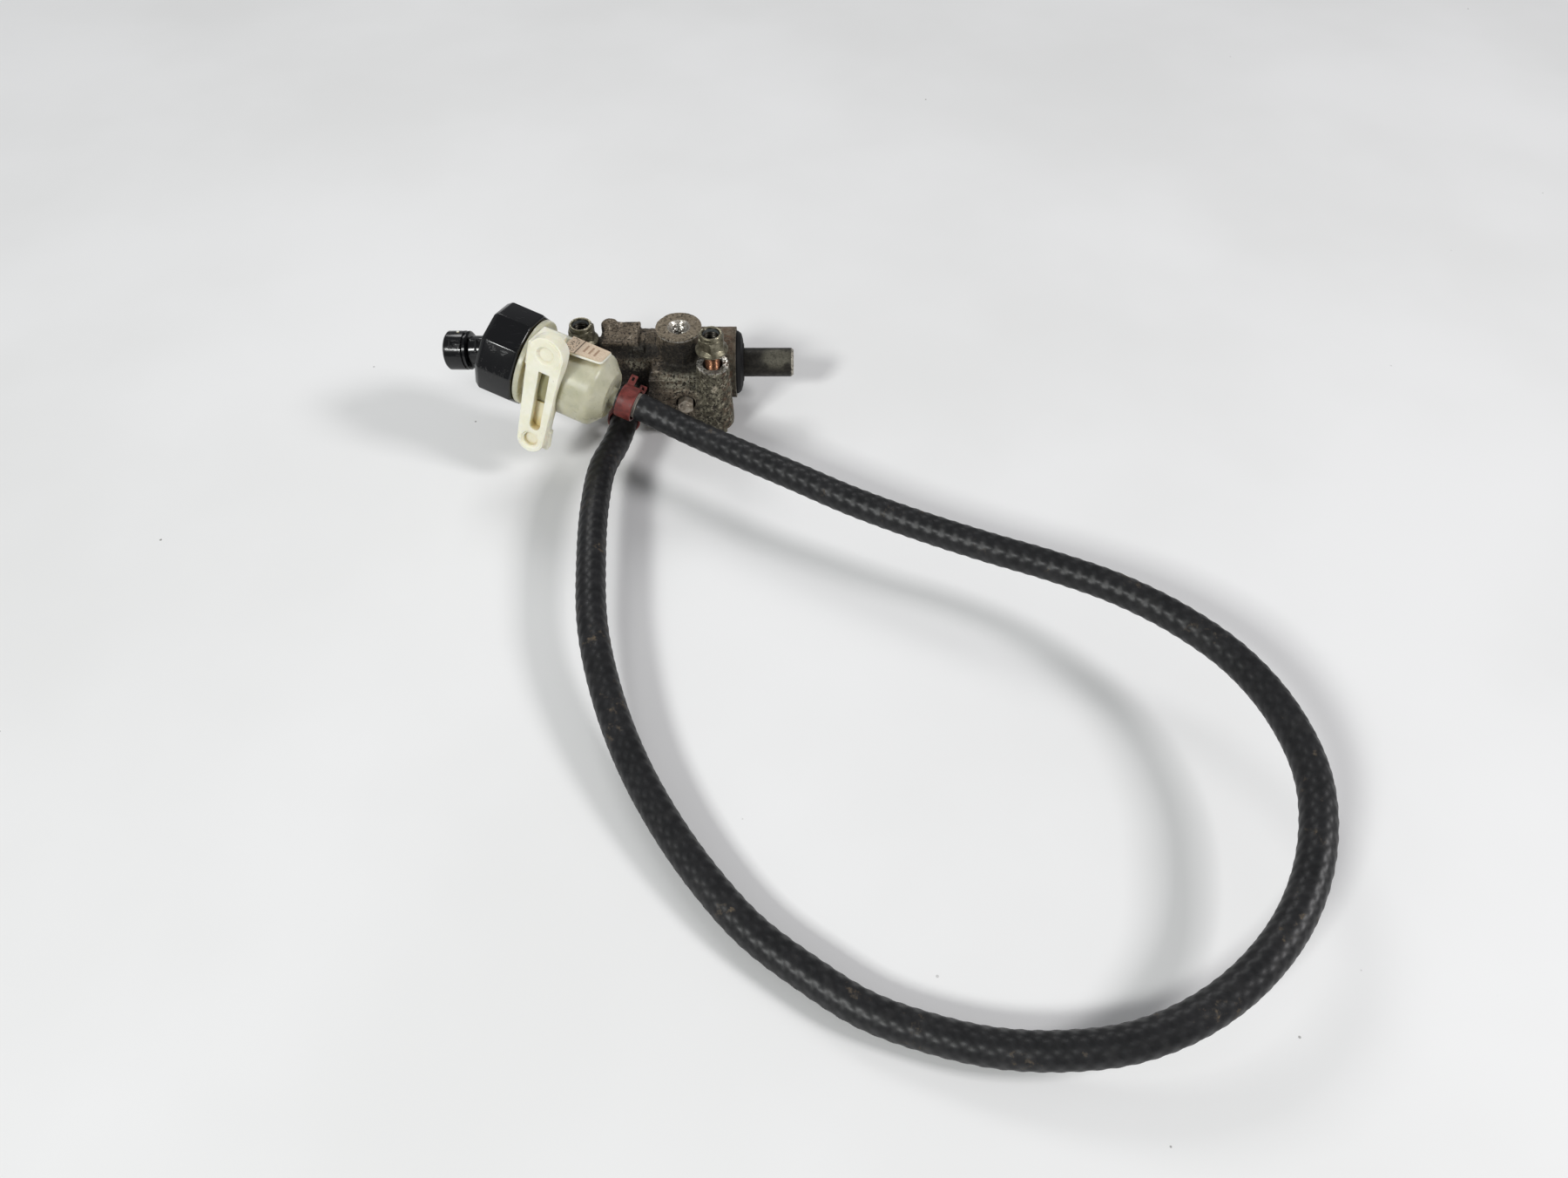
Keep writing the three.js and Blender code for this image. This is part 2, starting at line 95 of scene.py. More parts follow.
def mount_point(name):
    return Vector(next(m for m in frame["record"]["mounts"] if m["name"] == name)["pos_m"]) / MM


def aim(origin, direction):
    """A place whose own Z axis points along direction, reached by the shortest turn."""
    turn = Z_AXIS.rotation_difference(Vector(direction)).to_matrix().to_4x4()
    return Matrix.Translation(Vector(origin)) @ turn


BORE = middle("push_rod")
ON_BORE = aim((0, BORE.y, BORE.z), RIGHT)
LEFT_BOLT = middle("bolt_left")
RIGHT_BOLT = middle("bolt_right")
HOUSING_END = mount_point("rod_end").x - 32.1
BOSS_TOP = mount_point("frame_face").z
FOOT_Z = 6.2
PORT = mount_point("outlet_port_face") - Vector((9.5, 0, 0))
INLET = middle("inlet_fitting")
ON_INLET = aim((INLET.x, BORE.y, INLET.z), FRONT)
ON_PLUG = aim((middle("hex_plug").x, -7.3, middle("hex_plug").z), FRONT)

CAP_CENTRE = Vector(joint("cap_turn")["pos_m"]) / MM
UP_CAP = Vector(joint("cap_turn")["axis"]).normalized()
NOSE_AXIS = -UP_CAP
ARM_HINT = Vector((-0.288, -0.139, -0.947))
ARM_UP = -(ARM_HINT - NOSE_AXIS * ARM_HINT.dot(NOSE_AXIS)).normalized()
BACK = UP_CAP.cross(ARM_UP)
ON_RESERVOIR = Matrix.Translation(CAP_CENTRE) @ Matrix((ARM_UP, BACK, UP_CAP)).transposed().to_4x4()
SOCKET_AXIS = Vector((-0.992, 0.096, -0.076)).normalized()
SOCKET_BASE = Vector((-111.9, -5.9, 59.6))
ON_SOCKET = aim(SOCKET_BASE, SOCKET_AXIS)


# ---- camera
def place_camera():
    data = bpy.data.cameras.new("photo_camera")
    data.lens = 26.0
    data.sensor_width = 36.0
    data.clip_start = 0.01
    data.clip_end = 50
    camera = bpy.data.objects.new("photo_camera", data)
    camera.location = (0.0387, -0.4873, 0.437)
    camera.rotation_euler = (math.radians(40), 0, 0)
    bpy.context.scene.collection.objects.link(camera)
    bpy.context.scene.camera = camera


# ---- materials, node by node
class Finish:
    """One procedural material. Distances are in millimetres of the row frame."""

    def __init__(self, name, **constants):
        self.material = bpy.data.materials.new(name)
        self.material.use_nodes = True
        self.tree = self.material.node_tree
        self.shader = self.tree.nodes["Principled BSDF"]
        self.coordinates = self.tree.nodes.new("ShaderNodeTexCoord")
        self.place = self.coordinates.outputs["Object"]
        self.normal = None
        for socket, value in constants.items():
            self.shader.inputs[socket.replace("_", " ")].default_value = value

    def add(self, kind, values=(), **settings):
        node = self.tree.nodes.new(kind)
        for name, value in settings.items():
            setattr(node, name, value)
        for socket, value in dict(values).items():
            self.feed(node.inputs[socket], value)
        return node

    def feed(self, socket, value):
        if isinstance(value, bpy.types.NodeSocket):
            self.tree.links.new(value, socket)
        else:
            socket.default_value = value

    def noise(self, size, detail=4.0, roughness=0.6, warp=0.0, stretch=None):
        """Noise whose blotches are about size across."""
        place = self.place if stretch is None else self.stretched(stretch)
        values = {"Vector": place, "Scale": 1 / (size * MM), "Detail": detail,
                  "Roughness": roughness, "Distortion": warp}
        return self.add("ShaderNodeTexNoise", values).outputs["Fac"]

    def stretched(self, factors):
        return self.add("ShaderNodeMapping", {"Vector": self.place, "Scale": factors}).outputs["Vector"]

    def cells(self, size):
        """Distance from the middle of round cells that are about size apart."""
        values = {"Vector": self.place, "Scale": 1 / (size * MM)}
        return self.add("ShaderNodeTexVoronoi", values, feature="F1").outputs["Distance"]

    def span(self, value, start, end, low_value=0.0, high_value=1.0):
        """value, read from start to end, as a smooth step from low_value to high_value."""
        values = {"Value": value, "From Min": start, "From Max": end,
                  "To Min": low_value, "To Max": high_value}
        return self.add("ShaderNodeMapRange", values, interpolation_type="SMOOTHSTEP").outputs["Result"]

    def math(self, operation, first, second):
        values = {0: first, 1: second}
        return self.add("ShaderNodeMath", values, operation=operation, use_clamp=True).outputs[0]

    def both(self, first, second):
        """first times second, held between 0 and 1."""
        return self.math("MULTIPLY", first, second)

    def either(self, first, second):
        """The larger of the two, held between 0 and 1."""
        return self.math("MAXIMUM", first, second)

    def vector(self, operation, first, second=(0, 0, 0)):
        return self.add("ShaderNodeVectorMath", {0: first, 1: second}, operation=operation)

    def along(self, axis):
        """A coordinate in metres, 0 for X, 1 for Y, 2 for Z."""
        return self.add("ShaderNodeSeparateXYZ", {"Vector": self.place}).outputs[axis]

    def distance(self, point, across=(1, 1, 1)):
        """Metres from point. A zero in across ignores that axis: LEVEL measures from an upright line."""
        offset = self.vector("SUBTRACT", self.place, Vector(point) * MM).outputs["Vector"]
        kept = self.vector("MULTIPLY", offset, across).outputs["Vector"]
        return self.vector("LENGTH", kept).outputs["Value"]

    def near(self, point, inner, outer, across=(1, 1, 1)):
        return self.span(self.distance(point, across), inner * MM, outer * MM, 1.0, 0.0)

    def edges(self, start, end):
        """1 on sharp outer edges, 0 elsewhere."""
        return self.span(self.add("ShaderNodeNewGeometry").outputs["Pointiness"], start, end)

    def upward(self):
        """The height part of the surface direction: 1 on a level top, 0 on an upright side."""
        normal = self.add("ShaderNodeNewGeometry").outputs["Normal"]
        return self.add("ShaderNodeSeparateXYZ", {"Vector": normal}).outputs[2]

    def recess(self, distance, start=0.9, end=0.35):
        """1 deep in corners, 0 on open faces, read from ambient occlusion; the finishes use it for painted shade.
        """
        node = self.add("ShaderNodeAmbientOcclusion", {"Distance": distance * MM}, samples=6)
        return self.span(node.outputs["AO"], start, end)

    def blend(self, factor, first, second, amount=None):
        """first where factor is 0 and second where it is 1, or only amount of second there."""
        node = self.add("ShaderNodeMix", data_type="RGBA", blend_type="MIX")
        self.feed(node.inputs["Factor"], factor if amount is None else self.both(factor, amount))
        for socket, value in ((node.inputs[6], first), (node.inputs[7], second)):
            self.feed(socket, value if isinstance(value, bpy.types.NodeSocket) else (*value, 1))
        return node.outputs[2]

    def bump(self, height, depth, strength=1.0):
        """Raises the surface by depth where height is 1. Several calls add up."""
        values = {"Height": height, "Distance": depth * MM, "Strength": strength}
        if self.normal is not None:
            values["Normal"] = self.normal
        self.normal = self.add("ShaderNodeBump", values).outputs["Normal"]

    def done(self, color, roughness=None, metallic=None):
        self.feed(self.shader.inputs["Base Color"], color)
        if roughness is not None:
            self.feed(self.shader.inputs["Roughness"], roughness)
        if metallic is not None:
            self.feed(self.shader.inputs["Metallic"], metallic)
        if self.normal is not None:
            self.feed(self.shader.inputs["Normal"], self.normal)
        return self.material


def cast_metal():
    f = Finish("cast_metal", Specular_IOR_Level=0.4)
    blotches = f.noise(5, 5, 0.6)
    grain = f.noise(0.9, 5, 0.7)
    speck = f.noise(1.5, 3, 0.65, 0.4)
    x, y, z = (f.along(axis) for axis in range(3))
    smooth_collar = f.both(f.span(x, -0.012, -0.006), f.span(y, 0.002, 0.007))
    blotch = f.noise(2.6, 4, 0.7)
    brown = f.blend(f.span(blotches, 0.35, 0.65), (0.040, 0.030, 0.021), (0.185, 0.150, 0.110))
    brown = f.blend(f.span(grain, 0.35, 0.7), brown, (0.19, 0.152, 0.110))
    moss = f.blend(f.span(blotch, 0.4, 0.6), (0.045, 0.042, 0.028), (0.20, 0.195, 0.14))
    olive = f.blend(f.near(RIGHT_BOLT, 9, 17, LEVEL), brown, moss, 0.75)
    pale_amount = f.both(f.span(blotch, 0.56, 0.66), f.span(smooth_collar, 0, 1, 0.8, 0.15))
    pale = f.blend(pale_amount, olive, (0.46, 0.40, 0.32))
    patches = f.either(f.near((-42, 10.5, 41), 4, 9), f.near((-18.5, -1, 36), 4, 10, (0.6, 1, 1)))
    patches = f.both(patches, f.span(f.noise(2.4, 4, 0.65), 0.42, 0.54))
    pale = f.blend(patches, pale, (0.33, 0.32, 0.25), 0.7)
    black_amount = f.both(f.span(speck, 0.48, 0.40), f.span(smooth_collar, 0, 1, 0.95, 0.15))
    dark = f.blend(black_amount, pale, (0.018, 0.014, 0.011))
    # Painted shade: the corner mask darkens recesses by ambient occlusion, and the masks under the pad and under
    # the port boss darken the spots where shade falls. pool is a dark patch of grime on the front. The grime mask
    # below holds both painted shade and grime, and blends them to near black.
    corner = f.both(f.recess(9), f.span(blotches, 0.3, 0.6, 1.0, 0.7))
    pool = f.both(f.near((-44, 1, 29), 9, 17, (0.7, 1, 1)), f.span(patches, 0.2, 0.6, 1.0, 0.1))
    shade_under_pad = f.near((-51, 14, 43.5), 2.5, 5, (0.12, 0.6, 1))
    shade_under_port = f.near((-18, 5, 46), 7, 12, (0.6, 1, 1))
    grime = f.either(f.either(corner, pool), f.either(shade_under_pad, shade_under_port))
    grime = f.both(grime, f.span(grain, 0.3, 0.75, 1.0, 0.72))
    grimy_and_shaded = f.blend(grime, dark, (0.007, 0.006, 0.005))
    face = f.both(f.span(z, (PORT.z - 0.25) * MM, (PORT.z - 0.1) * MM), f.span(speck, 0.40, 0.6, 0.35, 1.0))
    tan = f.blend(face, grimy_and_shaded, (0.30, 0.255, 0.185), 0.5)
    threads = f.near(PORT, 5.4, 6.9, LEVEL)
    rim = f.both(f.near(RIGHT_BOLT, 8.6, 9.6, LEVEL), f.span(z, 0.0445, 0.0457))
    arc_rim = f.both(f.span(z, (PORT.z - 1.6) * MM, (PORT.z - 1) * MM),
                     f.span(z, (PORT.z - 0.2) * MM, (PORT.z - 0.6) * MM))
    arc_rim = f.both(arc_rim, 0.8)
    bright = f.both(f.either(threads, f.either(rim, arc_rim)),
                    f.span(f.noise(1.2, 3), 0.40, 0.6))
    worn_edge = f.both(f.edges(0.53, 0.6), f.span(f.upward(), 0.97, 0.85))
    bright = f.either(bright, f.both(worn_edge, f.span(grain, 0.4, 0.6, 0.1, 0.6)))
    worn = f.blend(bright, tan, (0.56, 0.54, 0.49))
    rust_place = f.both(f.span(x, 0.0035, 0.007), f.span(x, 0.0112, 0.0095))
    rust = f.both(rust_place, f.span(f.noise(3, 3, 0.6, 0, (0.4, 1, 1)), 0.5, 0.62))
    color = f.blend(rust, worn, (0.13, 0.06, 0.033), 0.45)
    f.bump(speck, 0.35, 0.6)
    f.bump(f.noise(0.45, 3), 0.08, 0.7)
    metallic = f.either(f.span(grime, 0, 1, 0.45, 0.0), bright)
    return f.done(color, f.span(bright, 0, 1, 0.74, 0.3), metallic)


def zinc_plate():
    f = Finish("zinc_plate")
    tint = f.noise(2.2, 4)
    color = f.blend(f.span(tint, 0.3, 0.7), (0.085, 0.076, 0.048), (0.25, 0.23, 0.165))
    # Painted shade: recesses darken by ambient occlusion.
    color = f.blend(f.recess(2.5), color, (0.03, 0.024, 0.016))
    worn = f.both(f.edges(0.53, 0.58), f.span(f.noise(0.9, 3), 0.3, 0.6, 0.35, 1.0))
    color = f.blend(worn, color, (0.80, 0.76, 0.62))
    # Painted shade: the nut bores, within 4.6 mm of each bolt axis, are painted dark.
    bore_shade = f.either(f.near(LEFT_BOLT, 4.6, 4.8, LEVEL), f.near(RIGHT_BOLT, 4.6, 4.8, LEVEL))
    color = f.blend(bore_shade, color, (0.012, 0.010, 0.008), 0.92)
    f.bump(f.noise(0.35, 3), 0.04, 0.6)
    return f.done(color, f.span(tint, 0.3, 0.7, 0.45, 0.3), f.span(worn, 0, 1, 0.75, 1.0))


def coppery_thread():
    f = Finish("coppery_thread")
    tint = f.noise(1.1, 4, 0.65)
    color = f.blend(f.span(tint, 0.35, 0.62), (0.07, 0.025, 0.014), (0.22, 0.11, 0.06))
    # Painted shade: the thread roots darken by ambient occlusion.
    color = f.blend(f.recess(0.8, 0.7, 0.25), color, (0.03, 0.015, 0.01))
    f.bump(tint, 0.05, 0.5)
    return f.done(color, f.span(tint, 0.3, 0.7, 0.5, 0.3), 0.85)


def rod_steel():
    f = Finish("rod_steel", Specular_IOR_Level=0.45)
    grain = f.noise(1.4, 5, 0.65)
    film = f.noise(6, 3, 0.5)
    patch = f.both(f.near((35, BORE.y - 4, BORE.z + 7), 4, 9, (0.8, 1, 1)), f.span(film, 0.36, 0.52))
    patch = f.both(patch, f.span(f.noise(0.8, 3), 0.3, 0.6, 0.5, 1.0))
    color = f.blend(f.span(grain, 0.35, 0.68), (0.011, 0.010, 0.008), (0.030, 0.027, 0.021))
    color = f.blend(patch, color, (0.18, 0.17, 0.13), 0.6)
    end = high("push_rod").x * MM
    tip = f.both(f.span(f.along(0), end - 0.0018, end - 0.001), 0.8)
    color = f.blend(f.both(tip, f.span(grain, 0.35, 0.6)), color, (0.55, 0.51, 0.43))
    f.bump(grain, 0.05, 0.6)
    f.bump(f.noise(0.3, 2, 0.5, 0, (1, 0.12, 0.12)), 0.02, 0.5)
    return f.done(color, f.span(grain, 0.3, 0.7, 0.56, 0.42), 0.5)


def plain_metal(name, dark, light, roughness, metallic=0.95):
    f = Finish(name)
    tint = f.noise(2.5, 4)
    color = f.blend(f.span(tint, 0.3, 0.7), dark, light)
    color = f.blend(f.span(f.noise(0.8, 3), 0.62, 0.72), color, tuple(c * 0.4 for c in dark))
    f.bump(f.noise(0.4, 3), 0.02, 0.5)
    return f.done(color, f.span(tint, 0.3, 0.7, roughness + 0.08, roughness - 0.06), metallic)


def soft_rubber(name, base, dust, dust_start, roughness):
    f = Finish(name, Specular_IOR_Level=0.25)
    grain = f.noise(0.7, 4)
    dusty = f.both(f.span(f.noise(4, 5, 0.7), dust_start, dust_start + 0.12), 0.6)
    color = f.blend(dusty, f.blend(f.span(grain, 0.3, 0.7), base, tuple(c * 1.7 for c in base)), dust)
    f.bump(grain, 0.05, 0.5)
    return f.done(color, f.span(dusty, 0, 0.6, roughness, 0.85))


def hose_rubber():
    f = Finish("hose_rubber", Specular_IOR_Level=0.32)
    grain = f.noise(0.5, 4)
    patches = f.noise(16, 5, 0.68)
    crumbs = f.noise(2.6, 4, 0.7)
    raised = f.edges(0.505, 0.53)
    base = f.blend(f.span(patches, 0.35, 0.65), (0.0065, 0.0067, 0.0073), (0.0125, 0.0125, 0.0135))
    base = f.blend(raised, base, (0.03, 0.03, 0.032), 0.35)
    dust = f.both(f.span(patches, 0.57, 0.68), f.span(crumbs, 0.48, 0.62))
    dust = f.both(f.both(dust, f.span(f.upward(), -0.2, 0.7)), 0.8)
    color = f.blend(dust, base, (0.115, 0.088, 0.058))
    film = f.both(f.span(f.noise(9, 4, 0.6), 0.5, 0.7), 0.12)
    color = f.blend(film, color, (0.06, 0.058, 0.055))
    cut_end = f.near(CAP_CENTRE + NOSE_AXIS * 71.3, 8.5, 9.5)
    from_cap = f.distance(CAP_CENTRE)
    cut_face = f.both(f.span(from_cap, 0.0706, 0.0710), f.span(from_cap, 0.0727, 0.0723))
    cut_face = f.both(cut_face, cut_end)
    color = f.blend(f.both(cut_face, f.span(crumbs, 0.3, 0.5, 0.6, 1.0)), color, (0.34, 0.31, 0.27))
    f.bump(grain, 0.04, 0.5)
    return f.done(color, f.span(f.either(dust, film), 0, 0.6, 0.42, 0.75))


def gloss_plastic():
    f = Finish("gloss_plastic", Specular_IOR_Level=0.38)
    film = f.noise(7, 5, 0.65)
    fine = f.noise(0.8, 4)
    scratches = f.span(f.noise(1.6, 2, 0.5, 0.2, (0.12, 1, 1)), 0.66, 0.70)
    dust = f.both(f.span(film, 0.54, 0.72), f.span(fine, 0.46, 0.62))
    color = f.blend(dust, (0.0045, 0.0047, 0.0055), (0.05, 0.048, 0.045), 0.15)
    color = f.blend(f.edges(0.52, 0.58), color, (0.06, 0.06, 0.062), 0.3)
    f.bump(film, 0.25, 0.25)
    f.bump(scratches, -0.02, 0.4)
    return f.done(color, f.span(f.either(dust, f.both(scratches, 0.6)), 0, 1, 0.17, 0.55))


def milky_nylon():
    f = Finish("milky_nylon", Subsurface_Weight=0.75, Subsurface_Scale=0.006, Specular_IOR_Level=0.5)
    f.shader.inputs["Subsurface Radius"].default_value = (1.0, 0.9, 0.55)
    cloud = f.noise(16, 4)
    stain = f.noise(6, 5, 0.65)
    low_side = f.span(f.along(2), 0.058, 0.030)
    color = f.blend(f.span(cloud, 0.35, 0.65), (0.47, 0.46, 0.34), (0.60, 0.58, 0.45))
    color = f.blend(low_side, color, (0.42, 0.38, 0.19), 0.4)
    color = f.blend(f.span(stain, 0.62, 0.75), color, (0.38, 0.33, 0.20), 0.3)
    # Painted shade: recesses darken by ambient occlusion.
    color = f.blend(f.recess(4, 0.75, 0.3), color, (0.36, 0.30, 0.15), 0.45)
    # Painted shade: the bottle behind the bracket's slot is painted a dark olive, as the arm shades it.
    shade_behind_slot = f.near(ON_RESERVOIR @ Vector((2, -20, -27)), 8, 12)
    color = f.blend(shade_behind_slot, color, (0.27, 0.25, 0.11), 0.8)
    f.bump(f.noise(1.1, 4), 0.03, 0.4)
    return f.done(color, f.span(stain, 0.3, 0.7, 0.24, 0.42))


def cream_nylon():
    f = Finish("cream_nylon", Subsurface_Weight=0.5, Subsurface_Scale=0.004, Specular_IOR_Level=0.4)
    f.shader.inputs["Subsurface Radius"].default_value = (1.0, 0.85, 0.5)
    cloud = f.noise(9, 4)
    fine = f.noise(1.3, 4, 0.65)
    color = f.blend(f.span(cloud, 0.35, 0.65), (0.84, 0.82, 0.66), (0.90, 0.88, 0.75))
    # Painted shade: recesses turn a darker yellow by ambient occlusion.
    deep = f.recess(6, 0.82, 0.3)
    color = f.blend(deep, color, (0.60, 0.46, 0.15), 0.85)
    smudge = f.both(f.span(f.noise(3.5, 5, 0.7), 0.6, 0.72), 0.35)
    color = f.blend(smudge, color, (0.33, 0.27, 0.16))
    dots = f.both(f.span(f.cells(6), 0.09, 0.05), f.span(cloud, 0.5, 0.6))
    color = f.blend(dots, color, (0.10, 0.08, 0.05), 0.6)
    f.bump(fine, 0.05, 0.4)
    return f.done(color, f.span(fine, 0.3, 0.7, 0.38, 0.52))


def red_coat():
    f = Finish("red_coat", Specular_IOR_Level=0.45)
    cloud = f.noise(4, 5, 0.65)
    fine = f.noise(0.9, 4)
    color = f.blend(f.span(cloud, 0.35, 0.65), (0.085, 0.013, 0.010), (0.17, 0.028, 0.022))
    color = f.blend(f.span(fine, 0.55, 0.7), color, (0.075, 0.025, 0.02), 0.5)
    color = f.blend(f.edges(0.53, 0.6), color, (0.30, 0.13, 0.11), 0.4)
    f.bump(fine, 0.06, 0.5)
    return f.done(color, f.span(cloud, 0.3, 0.7, 0.38, 0.6))


def label_paper():
    f = Finish("label_paper", Specular_IOR_Level=0.3)
    sheet = f.add("ShaderNodeUVMap", uv_map="sheet").outputs["UV"]
    across = f.add("ShaderNodeSeparateXYZ", {"Vector": sheet})
    u, v = across.outputs[0], across.outputs[1]
    fibres = f.noise(0.8, 4)
    color = f.blend(f.span(fibres, 0.3, 0.7), (0.58, 0.44, 0.31), (0.72, 0.60, 0.46))
    dots = f.both(f.span(f.cells(0.75), 0.46, 0.38), f.span(f.noise(1.6, 2), 0.4, 0.5))
    patch = f.both(f.span(u, 0.05, 0.06), f.span(u, 0.28, 0.27))
    color = f.blend(f.both(patch, dots), color, (0.035, 0.025, 0.02), 0.9)
    line = f.both(f.span(u, 0.31, 0.315), f.span(u, 0.345, 0.34))
    color = f.blend(line, color, (0.05, 0.03, 0.02), 0.8)
    for start in (0.44, 0.57, 0.70):
        bar_mask = f.both(f.span(u, start, start + 0.02), f.span(u, start + 0.07, start + 0.05))
        inside = f.both(f.span(v, 0.2, 0.26), f.span(v, 0.8, 0.74))
        color = f.blend(f.both(bar_mask, inside), color, (0.24, 0.13, 0.075), 0.7)
    f.bump(fibres, 0.02, 0.4)
    return f.done(color, f.span(fibres, 0.3, 0.7, 0.45, 0.6))


def float_foam():
    f = Finish("float_foam", Subsurface_Weight=0.2, Subsurface_Scale=0.002)
    holes = f.cells(0.7)
    color = f.blend(f.span(holes, 0.1, 0.5), (0.50, 0.47, 0.36), (0.72, 0.69, 0.57))
    f.bump(holes, 0.12, 0.7)
    return f.done(color, f.span(holes, 0.1, 0.5, 0.8, 0.6))


def floor_paint():
    f = Finish("floor_paint", Specular_IOR_Level=0.35)
    cloud = f.noise(260, 4, 0.5)
    color = f.blend(f.span(cloud, 0.3, 0.7), (0.78, 0.78, 0.775), (0.83, 0.83, 0.83))
    grime = f.both(f.span(f.cells(23), 0.035, 0.02), f.span(f.noise(60, 2), 0.55, 0.62))
    color = f.blend(grime, color, (0.12, 0.11, 0.10), 0.8)
    f.bump(f.noise(1.5, 3), 0.02, 0.3)
    return f.done(color, f.span(cloud, 0.3, 0.7, 0.42, 0.5))


def shared_finishes():
    """Each finish, as its material and the slot of the record that it stands for."""
    cream = cream_nylon()
    return {
        "cast": (cast_metal(), "cast_alloy"),
        "zinc": (zinc_plate(), "olive_zinc"),
        "copper": (coppery_thread(), "olive_zinc"),
        "rod": (rod_steel(), "dark_steel"),
        "steel": (plain_metal("bright_metal", (0.30, 0.29, 0.27), (0.52, 0.51, 0.48), 0.3), "bright_steel"),
        "clip": (plain_metal("clip_steel", (0.07, 0.065, 0.055), (0.16, 0.15, 0.13), 0.4), "bright_steel"),
        "alloy": (plain_metal("piston_metal", (0.42, 0.41, 0.38), (0.60, 0.59, 0.56), 0.28),
                  "piston_alloy"),
        "plug": (plain_metal("plug_metal", (0.20, 0.165, 0.125), (0.46, 0.41, 0.34), 0.4, 0.7),
                 "plug_steel"),
        "brass": (plain_metal("terminal_brass", (0.42, 0.27, 0.09), (0.62, 0.43, 0.18), 0.3), "brass"),
        "rubber": (soft_rubber("black_boot", (0.0035, 0.0035, 0.0038), (0.03, 0.027, 0.022), 0.64, 0.66),
                   "black_rubber"),
        "grey": (soft_rubber("nut_insert_nylon", (0.055, 0.06, 0.06), (0.16, 0.15, 0.12), 0.5, 0.5),
                 "nut_nylon"),
        "orange": (soft_rubber("orange_silicone", (0.42, 0.13, 0.03), (0.5, 0.3, 0.16), 0.62, 0.55),
                   "orange_seal"),
        "hose": (hose_rubber(), "hose_rubber"),
        "gloss": (gloss_plastic(), "black_plastic"),
        "milk": (milky_nylon(), "milky_nylon"),
        "cream": (cream, "cream_nylon"),
        "peg": (cream, "black_plastic"),
        "red": (red_coat(), "red_coat"),
        "label": (label_paper(), "label_paper"),
        "foam": (float_foam(), "float_foam"),
    }


# ---- mesh building, in millimetres
def mesh_object(points, faces, name="mesh"):
    mesh = bpy.data.meshes.new(name)
    mesh.from_pydata([tuple(p) for p in points], [], faces)
    mesh.validate()
    piece = bpy.data.objects.new(name, mesh)
    bpy.context.scene.collection.objects.link(piece)
    return piece


def placed(piece, place):
    piece.data.transform(place)
    return piece


def filleted(profile, closed):
    """Rounds each corner of a (radius, z, fillet) profile; a point with no third value stays sharp."""
    corners = [Vector(p[:2]) for p in profile]
    result = []
    for i, point in enumerate(corners):
        fillet = profile[i][2] if len(profile[i]) > 2 else 0
        inner = closed or 0 < i < len(corners) - 1
        if not fillet or not inner:
            result.append(point)
            continue
        before = (corners[i - 1] - point)
        after = (corners[(i + 1) % len(corners)] - point)
        half = before.angle(after) / 2
        reach = min(fillet / math.tan(half), before.length * 0.49, after.length * 0.49)
        start = point + before.normalized() * reach
        end = point + after.normalized() * reach
        steps = 5
        for k in range(steps + 1):
            t = k / steps
            result.append(start * (1 - t) ** 2 + point * 2 * t * (1 - t) + end * t ** 2)
    return result


def turned(profile, segments=96, wave=None):
    """A turned piece about Z. The profile runs up the outside, and closes on itself or on the axis."""
    closed = profile[0][0] > 0
    line = filleted(profile, closed)
    points = []
    rings = []
    for radius, z in line:
        if radius < 1e-6:
            rings.append([len(points)] * segments)
            points.append((0, 0, z))
            continue
        rings.append(list(range(len(points), len(points) + segments)))
        for k in range(segments):
            angle = 2 * math.pi * k / segments - math.pi / 2
            r = radius if wave is None else wave(radius, angle, z)
            points.append((r * math.cos(angle), r * math.sin(angle), z))
    faces = []
    pairs = len(rings) if closed else len(rings) - 1
    for i in range(pairs):
        first, second = rings[i], rings[(i + 1) % len(rings)]
        for k in range(segments):
            n = (k + 1) % segments
            corners = [first[k], first[n], second[n], second[k]]
            faces.append([c for j, c in enumerate(corners) if c != corners[j - 1]])
    return mesh_object(points, faces)


def bar(radius, z0, z1, end_radius=None, segments=96):
    return turned([(0, z0), (radius, z0), (radius if end_radius is None else end_radius, z1), (0, z1)],
                  segments)


def skinned(rings):
    """A closed skin through rings of points, which run round to the left of the way the rings go."""
    sides = len(rings[0])
    last = (len(rings) - 1) * sides
    faces = [tuple(reversed(range(sides))), tuple(range(last, last + sides))]
    for start in range(0, last, sides):
        for k in range(sides):
            n = (k + 1) % sides
            faces.append((start + k, start + n, start + sides + n, start + sides + k))
    return mesh_object([point for ring in rings for point in ring], faces)


def slab(outline, z0, z1):
    """A flat plate with an outline of (x, y) points, counter-clockwise."""
    return skinned([[(x, y, z) for x, y in outline] for z in (z0, z1)])


def spun(degrees):
    return Matrix.Rotation(math.radians(degrees), 4, "Z")


def block(x0, x1, y0, y1, z0, z1):
    return slab([(x0, y0), (x1, y0), (x1, y1), (x0, y1)], z0, z1)


def polygon(count, radius, start):
    """The corners of a regular outline, the first of them at the angle start."""
    angles = [2 * math.pi / count * k + start for k in range(count)]
    return [(radius * math.cos(a), radius * math.sin(a)) for a in angles]


def arc(x, y, radius, start, end, steps=14):
    """Points on a circle between two angles in degrees."""
    angles = [math.radians(start + (end - start) * k / steps) for k in range(steps + 1)]
    return [(x + radius * math.cos(a), y + radius * math.sin(a)) for a in angles]


